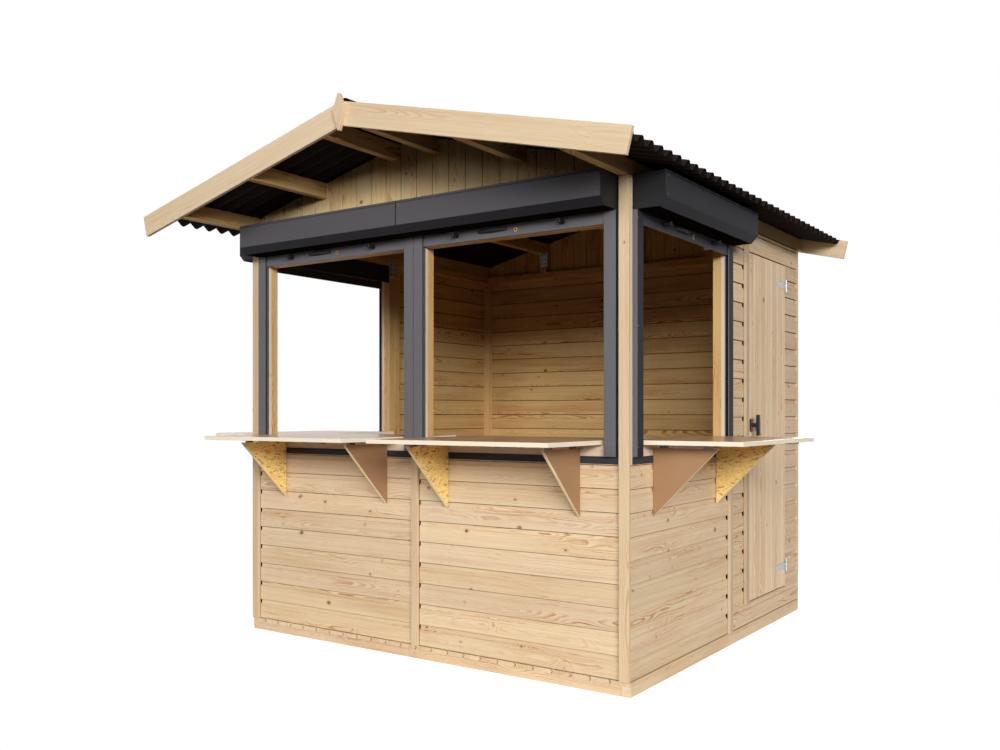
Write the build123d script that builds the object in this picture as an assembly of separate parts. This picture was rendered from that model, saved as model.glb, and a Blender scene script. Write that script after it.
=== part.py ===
from build123d import *
import os
from math import cos, floor, radians, sin, tan

# A wooden market stall: a board-on-frame hut with a gable roof of corrugated sheets, roller
# shutters over a counter on three sides, and a boarded door at the back of the right side.
#
# Millimetres. X runs to the right along the front, Y from the front to the back, Z up.
# The origin is the middle of the footprint, on the ground.

# ---------------------------------------------------------------- driving sizes

# Plan
WIDTH = 2400              # base, left to right
DEPTH = 2300              # base, front to back
BASE_PROUD = 5            # how far the base stands out past the walls
PANEL_GAP = 2             # joint between two prefabricated panels

# Floor
BEARER_WIDTH = 45
BEARER_HEIGHT = 45
BEARER_GAP = 1            # cross bearers stop this short of the edge bearers
INNER_BEARERS = 1         # cross bearers between the two ends of a floor panel
FLOORBOARD = 20

# Walls
WALL_TOP = 2262           # underside of the eave purlins
SKIN = 20                 # boards on the outside of the frame
STUD = 45                 # frame timber
SIDING_FOOT = 68          # lowest edge of the boards
SIDE_SIDING_TOP = 2248    # the side boards stop a little below the purlin
CORNER_TRIM = 50
CORNER_PAST = 3           # corner trims reach this far past the side walls
JOINT_BATTEN = 41
BATTEN_THICK = 17         # trims and battens are nailed on top of the boards

# Windows
SILL_FACE_LOW = 1008      # underside of the metal sill, top of the boards below a window
SILL_FACE_HIGH = 1041     # top of the metal sill, foot of the guide rails
SILL_PROUD = 4
SILL_SEAL = 9             # set-back strip along the top of the sill
RAIL_WIDTH = 59           # guide rails of the shutters
RAIL_DEPTH = 25
RAIL_SLOT = 12
RAIL_SLOT_DEPTH = 30
RAIL_CLEAR = 2            # between a side rail and the corner of the frame
RAIL_FROM_TRIM = 9        # between a front rail and the corner trim

# Roller shutters
BOX_DEPTH = 160
BOX_BOTTOM = 2116
BOX_HEIGHT = 156
BOX_BEVEL = 36
SLAT_BOTTOM = 2060        # the end slat hangs this low when the shutter is up
SLAT_THICK = 10
STOP_RADIUS = 11
STOP_LENGTH = 45
STOP_INSET = 212          # from the end of the opening
STOP_DROP = 24            # from the box down to the middle of a stop
LOCK_RADIUS = 11
LOCK_LENGTH = 6
LOCK_OFFSET = 45          # from the middle of the window
LOCK_DROP = 31
HANDLE_LENGTH = 175
HANDLE_PROUD = 24
HANDLE_HEIGHT = 14
HANDLE_OFFSET = 135       # from the lock to the middle of the handle
HANDLE_DROP = 28

# Counters
COUNTER_TOP = 1112
COUNTER_THICK = 20
COUNTER_OUT = 455         # past the outer face of the base
SIDE_COUNTER_OUT = 465
COUNTER_INNER_REACH = 440 # the front counters, inwards of the same face
COUNTER_END_GAP = 19      # from a rail to the end of its counter
COUNTER_CLEARANCE = 12    # from a side counter to the front counters
BRACKET_SIZE = 308        # both short sides of a bracket
BRACKET_THICK = 16
BRACKET_INSET = 120       # from the end of a front counter to its brackets
SIDE_BRACKET_FRONT = 130  # from the ends of a side counter to its brackets
SIDE_BRACKET_REAR = 98
BRACKET_DROP = 17         # from the counter down to the top of a bracket
FITTING_LENGTH = 40
FITTING_INSET = 30        # from either end of the bracket's top edge
CATCH_LENGTH = 120
CATCH_WIDTH = 34
CATCH_THICK = 8
CATCH_INSET = 22          # from the counter's outer edge

# Roof
ROOF_PITCH = 13.75        # degrees
PURLIN_WIDTH = 45
PURLIN_HEIGHT = 70
RIDGE_PURLIN_AT = 127     # from the middle of the roof to the middle of the purlin
MIDDLE_PURLIN_AT = 645
FRONT_OVERHANG = 532      # from the base to the face of the front barge boards
REAR_OVERHANG = 115
BARGE_WIDTH = 110
BARGE_THICK = 20
BARGE_REACH = 277         # past the base at either side
BARGE_JOINT = 0.6         # plumb joint between two barge boards
SHEET_REACH = 225         # eave edge of the sheets past the base
SHEET_THICK = 3
SHEET_RIDGE_GAP = 12      # between the two sheets
SHEET_END_GAP = 5         # from the last wave to the rear barge boards
WAVE_PITCH = 88.6
WAVE_RADIUS = 19.6        # middle of the sheet, at a crest and in a valley
WAVE_ANGLE = 50           # slope of the straight flanks, degrees
SEAT = 0.3                # a wave lies this close to what carries it
CAP_WING = 115            # ridge cap, measured level from the ridge
CAP_SHOULDER = 36         # where its round top starts
CAP_RISE = 18             # top of the cap above the sheets
FINIAL_ABOVE = 30         # the diamond board over the front and rear joints
FINIAL_MIDDLE = 45
FINIAL_BELOW = 140
FINIAL_WIDTH = 72
FINIAL_TIP = 10

# Door, in the rear part of the right side
DOOR_FROM_BACK = 241      # from the back of the base to the hinge edge
DOOR_WIDTH = 623
DOOR_BOTTOM = 187
DOOR_TOP = 2125
DOOR_GAP = 7
DOOR_SKIN = 19
CASING_FROM_DOOR = 22     # the casing's edge to the doorway
CASING_ABOVE = 45         # above the doorway
STOP_OVERLAP = 15         # the door stops cover this much of the leaf's edge
STOP_THICK = 20
STOP_CLEAR = 6            # between the stops and the back of the leaf
LEDGE_WIDTH = 95
LEDGE_THICK = 20
LEDGE_INSET = 30
HINGE_FROM_END = 122      # door's end to the middle of a hinge and of the ledge behind it
HINGE_HEIGHT = 77
HINGE_SHEET = 3
HINGE_STRAP = 150
HINGE_STRAP_ROOT = 50
HINGE_STRAP_TIP = 26
HINGE_PLATE = 30
HINGE_CLEAR = 1           # round a knuckle and behind it
KNUCKLE_RADIUS = 6
PIN_RADIUS = 2.5
PIN_CLEAR = 0.1
KNUCKLE_GAP = 0.5
T_HANDLE_HEIGHT = 1165
T_HANDLE_INSET = 38
ROSE_WIDTH = 34
ROSE_HEIGHT = 72
ROSE_THICK = 10
NECK_RADIUS = 12
NECK_LENGTH = 25
GRIP_LENGTH = 116
GRIP_THICK = 18
GRIP_MIDDLE = 26
GRIP_END = 14

# ---------------------------------------------------------------- derived planes

half_w = WIDTH / 2
half_d = DEPTH / 2
wall_x = half_w - BASE_PROUD          # outer face of the side walls
wall_y = half_d - BASE_PROUD          # outer face of the front and back walls
frame_x = wall_x - SKIN               # outer face of the studs
frame_y = wall_y - SKIN
inner_x = frame_x - STUD              # room side of the studs
inner_y = frame_y - STUD
floor_top = BEARER_HEIGHT + FLOORBOARD
plate_top = floor_top + STUD          # top of the bottom plates
box_top = BOX_BOTTOM + BOX_HEIGHT
side_joint = 0                        # joint between the two side panels
trim_edge = wall_x + CORNER_PAST - CORNER_TRIM  # inner edge of a corner trim
counter_low = COUNTER_TOP - COUNTER_THICK

front_rail_out = trim_edge - RAIL_FROM_TRIM
front_rail_in = front_rail_out - RAIL_WIDTH
centre_rail_in = PANEL_GAP / 2 + RAIL_WIDTH
side_rail_front = -frame_y + RAIL_CLEAR
side_rail_back = side_joint - PANEL_GAP / 2
side_open_front = side_rail_front + RAIL_WIDTH
side_open_back = side_rail_back - RAIL_WIDTH

door_hung = half_d - DOOR_FROM_BACK
door_free = door_hung - DOOR_WIDTH
door_open_front = door_free - DOOR_GAP
door_open_back = door_hung + DOOR_GAP
door_open_low = DOOR_BOTTOM - DOOR_GAP
door_open_high = DOOR_TOP + DOOR_GAP

slope = tan(radians(ROOF_PITCH))
pitch_cos = cos(radians(ROOF_PITCH))
pitch_sin = sin(radians(ROOF_PITCH))
ridge_z = WALL_TOP + PURLIN_HEIGHT + wall_x * slope     # top of the purlins, at the middle
eave_purlin_at = wall_x - PURLIN_WIDTH / 2

flank_turn = radians(WAVE_ANGLE)
flank_run = (WAVE_PITCH / 2 - 2 * WAVE_RADIUS * sin(flank_turn)) / cos(flank_turn)
wave_height = 2 * WAVE_RADIUS * (1 - cos(flank_turn)) + flank_run * sin(flank_turn)
sheet_height = wave_height + SHEET_THICK
cover_z = ridge_z + (SEAT + sheet_height) / pitch_cos    # crests of the sheets, at the middle

barge_front = -half_d - FRONT_OVERHANG + BARGE_THICK     # back of the front barge boards
barge_rear = half_d + REAR_OVERHANG - BARGE_THICK        # front of the rear ones


def roof(x):
    """Height of the purlins' top plane at a distance from the middle."""
    return ridge_z - abs(x) * slope


def cover(x):
    """Height of the wave crests at a distance from the middle."""
    return cover_z - abs(x) * slope


# ---------------------------------------------------------------- helpers


def block(x, y, z):
    """A squared timber or board between two limits on each axis."""
    middle = Pos((x[0] + x[1]) / 2, (y[0] + y[1]) / 2, (z[0] + z[1]) / 2)
    return middle * Box(x[1] - x[0], y[1] - y[0], z[1] - z[0])


def plate_xz(points, y_low, y_high):
    """A flat piece with an outline seen from the front."""
    face = make_face(Polyline(*[(x, y_low, z) for x, z in points], close=True))
    return extrude(face, amount=y_high - y_low, dir=(0, 1, 0))


def plate_yz(points, x_low, x_high):
    """A flat piece with an outline seen from the side."""
    face = make_face(Polyline(*[(x_low, y, z) for y, z in points], close=True))
    return extrude(face, amount=x_high - x_low, dir=(1, 0, 0))


def plate_xy(points, z_low, z_high):
    """A flat piece with an outline seen from above."""
    face = make_face(Polyline(*[(x, y, z_low) for x, y in points], close=True))
    return extrude(face, amount=z_high - z_low, dir=(0, 0, 1))


def across(piece):
    """The same piece on the other side of the stall."""
    return mirror(piece, about=Plane.YZ)


def both_sides(pieces):
    return pieces + [across(piece) for piece in pieces]


def save(name, *pieces):
    solids = [solid for piece in pieces for solid in piece.solids()]
    export_step(Compound(solids) if len(solids) > 1 else solids[0], f"parts/{name}.step")


# ---------------------------------------------------------------- floor


def base():
    """Bearers and boards of four floor panels; their four middle bearers are drawn as one."""
    near = (-half_d, side_joint - PANEL_GAP / 2)
    far = (side_joint + PANEL_GAP / 2, half_d)
    middle = PANEL_GAP / 2 + BEARER_WIDTH
    between = (middle + BEARER_GAP, half_w - BEARER_WIDTH - BEARER_GAP)
    height = (0, BEARER_HEIGHT)
    joined = block((-middle, middle), (-half_d, half_d), height)
    paired, boards = [], []
    for y in (near, far):
        paired.append(block((half_w - BEARER_WIDTH, half_w), y, height))
        step = (y[1] - y[0] - BEARER_WIDTH) / (INNER_BEARERS + 1)
        for n in range(INNER_BEARERS + 2):
            start = y[0] + n * step
            paired.append(block(between, (start, start + BEARER_WIDTH), height))
        boards.append(block((PANEL_GAP / 2, half_w), y, (BEARER_HEIGHT, floor_top)))
    save("floor_bearers", joined, *both_sides(paired))
    save("floor_boards", *both_sides(boards))


# ---------------------------------------------------------------- wall boards


def walls():
    front = (-wall_y, -frame_y)
    back = (frame_y, wall_y)
    right = (frame_x, wall_x)
    low_wall = (SIDING_FOOT, SILL_FACE_LOW)
    full_wall = (SIDING_FOOT, SIDE_SIDING_TOP)
    half_front = (PANEL_GAP / 2, frame_x)
    fore_side = (-wall_y, side_joint - PANEL_GAP / 2)
    rear_start = side_joint + PANEL_GAP / 2

    save("front_wall", *both_sides([block(half_front, front, low_wall)]))
    save("back_wall", *both_sides([block(half_front, back, (SIDING_FOOT, WALL_TOP))]))
    side_front = block(right, fore_side, low_wall)
    save("right_wall_front", side_front)
    save("left_wall", across(side_front), across(block(right, (rear_start, wall_y), full_wall)))

    beside_high = (door_open_low, door_open_high)
    save("right_wall_beside_door",
         block(right, (rear_start, door_open_front), beside_high),
         block(right, (door_open_back, wall_y), beside_high))
    save("right_wall_under_and_over_door",
         block(right, (rear_start, wall_y), (SIDING_FOOT, door_open_low)),
         block(right, (rear_start, wall_y), (door_open_high, SIDE_SIDING_TOP)))


def gables(purlins):
    """Boarded triangles above the front and back walls, let in round the purlins."""
    edge = wall_x - PURLIN_WIDTH
    outline = [(-edge, WALL_TOP), (edge, WALL_TOP), (edge, roof(edge)), (0, ridge_z),
               (-edge, roof(edge))]
    front = plate_xz(outline, -wall_y, -frame_y)
    rear = plate_xz(outline, frame_y, wall_y)
    for purlin in purlins:
        front = front - purlin
        rear = rear - purlin
    save("gables", front, rear)


def trims():
    """Corner trims and the battens over the panel joints, from the floor to the wall top."""
    front = (-wall_y - BATTEN_THICK, -wall_y)
    back = (wall_y, wall_y + BATTEN_THICK)
    corner = (trim_edge, wall_x + CORNER_PAST)
    height = (floor_top, WALL_TOP)
    under_sill = (floor_top, SILL_FACE_LOW)
    corners = [block(corner, front, height), block(corner, back, height)]
    save("corner_trims", *both_sides(corners))
    middle = (-JOINT_BATTEN / 2, JOINT_BATTEN / 2)
    side = (side_joint - JOINT_BATTEN / 2, side_joint + JOINT_BATTEN / 2)
    side_batten = block((wall_x, wall_x + BATTEN_THICK), side, under_sill)
    save("joint_battens", block(middle, front, under_sill), block(middle, back, height),
         side_batten, across(side_batten))


# ---------------------------------------------------------------- wall frame


def upright(x, y, low=plate_top, high=WALL_TOP - STUD):
    return block(x, y, (low, high))


def posts():
    """Studs in the frame layer: corners, panel joints, window sides and door sides."""
    front_y = (-frame_y, -inner_y)
    back_y = (inner_y, frame_y)
    side_x = (inner_x, frame_x)
    under_header = SLAT_BOTTOM
    corner = [upright(side_x, front_y, high=under_header), upright(side_x, back_y)]
    joint = [upright((PANEL_GAP / 2, centre_rail_in), front_y, high=under_header),
             upright((PANEL_GAP / 2, PANEL_GAP / 2 + STUD), back_y)]
    window = [upright((front_rail_in, front_rail_in + STUD), front_y, high=under_header)]
    side = [upright(side_x, (side_open_back, side_joint - PANEL_GAP / 2), high=BOX_BOTTOM),
            upright(side_x, (side_joint + PANEL_GAP / 2, side_joint + PANEL_GAP / 2 + STUD))]
    door = [upright(side_x, (door_open_front - STUD, door_open_front)),
            upright(side_x, (door_open_back, door_open_back + STUD))]
    save("wall_posts", *both_sides(corner + joint + window + side), *door, *gable_posts())


def rails():
    """Bottom plates, window sills, window heads and top plates of the frame."""
    front_y = (-frame_y, -inner_y)
    back_y = (inner_y, frame_y)
    side_x = (inner_x, frame_x)
    bottom = (floor_top, plate_top)
    front_head = (SLAT_BOTTOM, WALL_TOP)
    side_head = (BOX_BOTTOM, WALL_TOP)
    top = (WALL_TOP - STUD, WALL_TOP)
    sill = (counter_low - STUD, counter_low)
    front_half = (PANEL_GAP / 2, frame_x)
    fore = (-inner_y + PANEL_GAP, side_joint - PANEL_GAP / 2)
    rear = (side_joint + PANEL_GAP / 2, inner_y - PANEL_GAP)
    pieces = [
        block(front_half, front_y, bottom), block(front_half, back_y, bottom),
        block(side_x, fore, bottom), block(side_x, rear, bottom),
        block((centre_rail_in, front_rail_in), front_y, sill),
        block(side_x, (-inner_y, side_open_back), sill),
        block(front_half, front_y, front_head), block(side_x, fore, side_head),
        block(front_half, back_y, top), block(side_x, rear, top),
    ]
    save("wall_rails", *both_sides(pieces))


def linings():
    """Boards on the frame round the windows, under the rails, the sills and the boxes."""
    front_y = (-wall_y, -frame_y)
    side_x = (frame_x, wall_x)
    sill_z = (SILL_FACE_LOW, counter_low)
    front_z = (counter_low, SLAT_BOTTOM)
    side_z = (counter_low, BOX_BOTTOM)
    front_half = (PANEL_GAP / 2, frame_x)
    fore = (-wall_y, side_joint - PANEL_GAP / 2)
    front = [block(front_half, front_y, sill_z), block(front_half, front_y, (front_z[1], WALL_TOP)),
             block((PANEL_GAP / 2, centre_rail_in), front_y, front_z),
             block((front_rail_in, frame_x), front_y, front_z)]
    side = [block(side_x, fore, sill_z), block(side_x, fore, (side_z[1], WALL_TOP)),
            block(side_x, (fore[0], side_open_front), side_z),
            block(side_x, (side_open_back, fore[1]), side_z)]
    save("window_linings_level", *both_sides(front[:2] + side[:2]))
    save("window_linings_upright", *both_sides(front[2:] + side[2:]))


def gable_posts():
    """Short studs that carry the ridge and middle purlins at either gable."""
    pieces = []
    for at in (RIDGE_PURLIN_AT, MIDDLE_PURLIN_AT):
        x = (at - PURLIN_WIDTH / 2, at + PURLIN_WIDTH / 2)
        z = (WALL_TOP, roof(x[1]) - PURLIN_HEIGHT)
        pieces += [block(x, (-frame_y, -inner_y), z), block(x, (inner_y, frame_y), z)]
    return both_sides(pieces)


# ---------------------------------------------------------------- windows


def sill_profile(proud, face):
    """Section of the metal sill: a face with a set-back strip on top."""
    return [(face, SILL_FACE_LOW), (face + proud, SILL_FACE_LOW),
            (face + proud, SILL_FACE_HIGH - SILL_SEAL), (face + proud / 2, SILL_FACE_HIGH - SILL_SEAL),
            (face + proud / 2, SILL_FACE_HIGH), (face, SILL_FACE_HIGH)]


def window_sills():
    out = [(-y, z) for y, z in sill_profile(SILL_PROUD, wall_y)]
    front = plate_yz(out, -front_rail_out, front_rail_out)
    side = plate_xz(sill_profile(SILL_PROUD, wall_x), side_rail_front, side_rail_back)
    save("window_sills", front, side, across(side))


def rail(face, start, inward):
    """Plan of a guide rail on the front wall: open towards the window along +X or -X."""
    slot_in = (RAIL_DEPTH - RAIL_SLOT) / 2
    edge = start + inward * RAIL_WIDTH
    floor_of_slot = edge - inward * RAIL_SLOT_DEPTH
    outer = face - RAIL_DEPTH
    return [(start, face), (start, outer), (edge, outer), (edge, outer + slot_in),
            (floor_of_slot, outer + slot_in), (floor_of_slot, face - slot_in),
            (edge, face - slot_in), (edge, face)]


def guide_rails():
    height = (SILL_FACE_HIGH, BOX_BOTTOM)
    corner = plate_xy(rail(-wall_y, front_rail_out, -1), *height)
    centre = plate_xy(rail(-wall_y, PANEL_GAP / 2, 1), *height)
    turned = []
    for start, inward in ((side_rail_front, 1), (side_rail_back, -1)):
        plan = [(-y, x) for x, y in rail(-wall_x, start, inward)]
        turned.append(plate_xy(plan, *height))
    save("guide_rails", *both_sides([corner, centre] + turned))


# ---------------------------------------------------------------- roller shutters


def box_section(face):
    """Section of a shutter box, outwards from the wall face and upwards."""
    outer = face + BOX_DEPTH
    return [(face, BOX_BOTTOM), (outer - BOX_BEVEL, BOX_BOTTOM), (outer, BOX_BOTTOM + BOX_BEVEL),
            (outer, box_top), (face, box_top)]


def shutter_boxes():
    section = [(-y, z) for y, z in box_section(wall_y)]
    right_half = plate_yz(section, PANEL_GAP / 2, front_rail_out)
    save("shutter_box_front_right", right_half)
    save("shutter_box_front_left", across(right_half))
    side = plate_xz(box_section(wall_x), side_rail_front, side_rail_back)
    save("shutter_box_right", side)
    save("shutter_box_left", across(side))


def shutter_windows():
    """For each window: from local X along it, -Y outwards, to its place on the stall."""
    front_middle = (centre_rail_in + front_rail_in) / 2
    side_middle = (side_open_front + side_open_back) / 2
    front_opening = front_rail_in - centre_rail_in
    side_opening = side_open_back - side_open_front
    return [(Location((front_middle, -wall_y, 0)), front_opening),
            (Location((-front_middle, -wall_y, 0)), front_opening),
            (Location((wall_x, side_middle, 0), (0, 0, 90)), side_opening),
            (Location((-wall_x, side_middle, 0), (0, 0, -90)), side_opening)]


def lens(length, depth, z_low, height):
    """A pull: flat at the back and curved in front."""
    back = Line((-length / 2, 0), (length / 2, 0))
    front = ThreePointArc((length / 2, 0), (0, -depth), (-length / 2, 0))
    return Pos(0, 0, z_low) * extrude(make_face([back, front]), amount=height)


def shutter_fittings():
    """End slats with their stops, pulls and locks, seen under the boxes."""
    slat_back = -(RAIL_DEPTH - SLAT_THICK) / 2
    slat_front = slat_back - SLAT_THICK
    into_slot = RAIL_SLOT_DEPTH * 0.6
    slats, stops, pulls, locks = [], [], [], []
    for place, opening in shutter_windows():
        half = opening / 2
        slats.append(place * block((-half - into_slot, half + into_slot), (slat_front, slat_back),
                                   (SLAT_BOTTOM, BOX_BOTTOM)))
        outward = Plane((0, slat_front, 0), x_dir=(1, 0, 0), z_dir=(0, -1, 0))
        for side in (-1, 1):
            centre = side * (half - STOP_INSET)
            ring = outward * Pos(centre, BOX_BOTTOM - STOP_DROP, 0) * Circle(STOP_RADIUS)
            stops.append(place * extrude(ring, amount=STOP_LENGTH))
        lock = outward * Pos(LOCK_OFFSET, BOX_BOTTOM - LOCK_DROP, 0) * Circle(LOCK_RADIUS)
        locks.append(place * extrude(lock, amount=LOCK_LENGTH))
        pull = lens(HANDLE_LENGTH, HANDLE_PROUD, BOX_BOTTOM - HANDLE_DROP, HANDLE_HEIGHT)
        pulls.append(place * Pos(LOCK_OFFSET - HANDLE_OFFSET, slat_front, 0) * pull)
    save("shutter_end_slats", *slats)
    save("shutter_stops", *stops)
    save("shutter_pulls", *pulls)
    save("shutter_locks", *locks)


# ---------------------------------------------------------------- counters


def counters():
    thick = (counter_low, COUNTER_TOP)
    front_x = (centre_rail_in + COUNTER_END_GAP, front_rail_in - COUNTER_END_GAP)
    front = block(front_x, (-half_d - COUNTER_OUT, -half_d + COUNTER_INNER_REACH), thick)
    save("counter_front_right", front)
    save("counter_front_left", across(front))
    side_y = (side_open_front + COUNTER_END_GAP, side_open_back - COUNTER_END_GAP)
    side = block((front_x[1] + COUNTER_CLEARANCE, half_w + SIDE_COUNTER_OUT), side_y, thick)
    save("counter_right", side)
    save("counter_left", across(side))
    return front_x, side_y


def bracket(along):
    """A triangular bracket under a front counter, screwed to the wall through the metal sill."""
    top = counter_low - BRACKET_DROP
    back = -wall_y - SILL_PROUD
    points = [(back, top), (back - BRACKET_SIZE, top), (back, top - BRACKET_SIZE)]
    half = BRACKET_THICK / 2
    return plate_yz(points, along - half, along + half)


def bracket_fittings(along):
    """Two steel blocks between the bracket and the counter."""
    half = BRACKET_THICK / 2
    z = (counter_low - BRACKET_DROP, counter_low)
    near = -wall_y - SILL_PROUD - FITTING_INSET
    far = -wall_y - SILL_PROUD - BRACKET_SIZE + FITTING_INSET
    return [block((along - half, along + half), (near - FITTING_LENGTH, near), z),
            block((along - half, along + half), (far, far + FITTING_LENGTH), z)]


def catch(along):
    """A flat bolt under the outer edge of a counter."""
    outer = -half_d - COUNTER_OUT + CATCH_INSET
    return block((along - CATCH_LENGTH, along), (outer, outer + CATCH_WIDTH),
                 (counter_low - CATCH_THICK, counter_low))


def counter_supports(front_x, side_y):
    to_right = Location((wall_x, 0, 0), (0, 0, 90)) * Location((0, wall_y, 0))
    places = [front_x[0] + BRACKET_INSET, front_x[1] - BRACKET_INSET]
    side_places = [side_y[0] + SIDE_BRACKET_FRONT, side_y[1] - SIDE_BRACKET_REAR]
    front = [bracket(at) for at in places]
    side = [to_right * bracket(at) for at in side_places]
    save("counter_brackets", *both_sides(front + side))
    fittings = [piece for at in places for piece in bracket_fittings(at)]
    side_fittings = [to_right * piece for at in side_places for piece in bracket_fittings(at)]
    clear_of_bracket = BRACKET_THICK * 2
    front_catch = catch(places[1] - clear_of_bracket)
    side_catch = to_right * catch(side_places[1] - clear_of_bracket)
    save("counter_fittings", front_catch, Pos(-places[0] - places[1], 0, 0) * front_catch,
         *both_sides(fittings + side_fittings + [side_catch]))


# ---------------------------------------------------------------- roof


def purlin(at):
    """A purlin on the right of the ridge, its top planed to the slope."""
    inside, outside = at - PURLIN_WIDTH / 2, at + PURLIN_WIDTH / 2
    low = roof(outside) - PURLIN_HEIGHT
    section = [(inside, low), (outside, low), (outside, roof(outside)), (inside, roof(inside))]
    return plate_xz(section, barge_front, barge_rear)


def wave_edge(waves, offset):
    """One face of a corrugated sheet, from a valley to the last crest, as arcs and flanks.

    Local X runs along the sheet, local Y is the height over what the sheet lies on."""
    low, high = WAVE_RADIUS - offset, WAVE_RADIUS + offset
    valley_y = SHEET_THICK / 2 + WAVE_RADIUS
    crest_y = SHEET_THICK / 2 + wave_height - WAVE_RADIUS
    turn = flank_turn
    edges = []
    for n in range(waves):
        at = n * WAVE_PITCH
        crest_at = at + WAVE_PITCH / 2
        start = -turn if n else 0
        valley = [(at + low * sin(a), valley_y - low * cos(a))
                  for a in (start, (start + turn) / 2, turn)]
        last = n == waves - 1
        end = 0 if last else turn
        crest = [(crest_at + high * sin(a), crest_y + high * cos(a))
                 for a in (-turn, (end - turn) / 2, end)]
        edges += [ThreePointArc(*valley), Line(valley[2], crest[0]), ThreePointArc(*crest)]
        if not last:
            following = (at + WAVE_PITCH + low * sin(-turn), valley_y - low * cos(turn))
            edges.append(Line(crest[2], following))
    return edges


def roof_sheet():
    """The right-hand sheet: waves run down the slope and step along the ridge."""
    run = barge_rear - SHEET_END_GAP - barge_front
    waves = floor(run / WAVE_PITCH - 0.5) + 1
    upper = wave_edge(waves, SHEET_THICK / 2)
    lower = wave_edge(waves, -SHEET_THICK / 2)
    start = Line(lower[0] @ 0, upper[0] @ 0)
    end = Line(upper[-1] @ 1, lower[-1] @ 1)
    length_y = (waves - 0.5) * WAVE_PITCH
    origin_x = SHEET_RIDGE_GAP / 2
    origin = (origin_x + SEAT * pitch_sin, barge_rear - SHEET_END_GAP - length_y,
              roof(origin_x) + SEAT * pitch_cos)
    downhill = Plane(origin, x_dir=(0, 1, 0), z_dir=(pitch_cos, 0, -pitch_sin))
    section = downhill * make_face(upper + lower + [start, end])
    return extrude(section, amount=(half_w + SHEET_REACH - origin_x) / pitch_cos)


def ridge_cap():
    """A folded cap over the gap between the sheets, its wings on the crests."""
    lift = SEAT / pitch_cos
    crown = cover(0) + CAP_RISE

    def line(raise_by):
        wing = (CAP_WING, cover(CAP_WING) + lift + raise_by)
        shoulder = (CAP_SHOULDER, cover(CAP_SHOULDER) + lift + raise_by)
        top = (0, crown - SHEET_THICK + raise_by)
        mirrored = [(-x, z) for x, z in (shoulder, wing)]
        return [Line(wing, shoulder), ThreePointArc(shoulder, top, mirrored[0]),
                Line(mirrored[0], mirrored[1])]

    under, over = line(0), line(SHEET_THICK)
    ends = [Line(under[0] @ 0, over[0] @ 0), Line(under[2] @ 1, over[2] @ 1)]
    front = Plane((0, barge_rear, 0), x_dir=(1, 0, 0), z_dir=(0, -1, 0))
    return extrude(front * make_face(under + over + ends), amount=barge_rear - barge_front)


def barge_board():
    """The right-hand board: a plumb cut at the ridge and a square end at the eave."""
    end = half_w + BARGE_REACH
    start = BARGE_JOINT / 2
    drop = BARGE_WIDTH / pitch_cos
    return [(start, cover(start)), (end, cover(end)),
            (end - BARGE_WIDTH * pitch_sin, cover(end) - BARGE_WIDTH * pitch_cos),
            (start, cover(start) - drop)]


def finial_outline():
    middle = cover(0) - FINIAL_MIDDLE
    top, bottom = cover(0) + FINIAL_ABOVE, cover(0) - FINIAL_BELOW
    tip, half = FINIAL_TIP / 2, FINIAL_WIDTH / 2
    return [(-tip, top), (tip, top), (half, middle), (tip, bottom), (-tip, bottom), (-half, middle)]


def roof_parts():
    right_purlins = [purlin(at) for at in (RIDGE_PURLIN_AT, MIDDLE_PURLIN_AT, eave_purlin_at)]
    purlins = both_sides(right_purlins)
    save("purlins", *purlins)
    sheet = roof_sheet()
    save("roof_sheet_right", sheet)
    save("roof_sheet_left", across(sheet))
    save("ridge_cap", ridge_cap())
    front = plate_xz(barge_board(), barge_front - BARGE_THICK, barge_front)
    rear = plate_xz(barge_board(), barge_rear, barge_rear + BARGE_THICK)
    save("barge_boards", *both_sides([front, rear]))
    save("finials",
         plate_xz(finial_outline(), barge_front - 2 * BARGE_THICK, barge_front - BARGE_THICK),
         plate_xz(finial_outline(), barge_rear + BARGE_THICK, barge_rear + 2 * BARGE_THICK))
    return purlins


# ---------------------------------------------------------------- door

hinge_x = wall_x + KNUCKLE_RADIUS + HINGE_CLEAR
hinge_y = door_hung + DOOR_GAP / 2
leaf_back = wall_x - DOOR_SKIN
hinge_heights = (DOOR_BOTTOM + HINGE_FROM_END, DOOR_TOP - HINGE_FROM_END)


def door_frame():
    """Casing board on the free side, stops behind the leaf, threshold and head."""
    casing_edge = door_open_front - CASING_FROM_DOOR
    casing = block((wall_x, wall_x + BATTEN_THICK), (casing_edge - JOINT_BATTEN, casing_edge),
                   (door_open_low, door_open_high + CASING_ABOVE))
    stop_x = (leaf_back - STOP_CLEAR - STOP_THICK, leaf_back - STOP_CLEAR)
    lap = DOOR_GAP + STOP_OVERLAP
    side_stops = [block(stop_x, (door_open_front, door_open_front + lap),
                        (door_open_low, door_open_high)),
                  block(stop_x, (door_open_back - lap, door_open_back),
                        (door_open_low, door_open_high))]
    frame = (inner_x, frame_x)
    opening = (door_open_front, door_open_back)
    threshold = block(frame, opening, (plate_top, door_open_low))
    head = block(frame, opening, (door_open_high, door_open_high + STUD))
    save("door_casing", casing)
    save("door_stops", *side_stops)
    save("door_threshold_and_head", threshold, head)


def door_leaf():
    """Vertical boards held by two ledges on the room side."""
    edges = (door_free, door_hung)
    leaf = block((leaf_back, wall_x), edges, (DOOR_BOTTOM, DOOR_TOP))
    ledge_x = (leaf_back - LEDGE_THICK, leaf_back)
    ledge_y = (door_free + LEDGE_INSET, door_hung - LEDGE_INSET)
    for middle in hinge_heights:
        leaf = leaf + block(ledge_x, ledge_y, (middle - LEDGE_WIDTH / 2, middle + LEDGE_WIDTH / 2))
    save("door_leaf", leaf)


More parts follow.
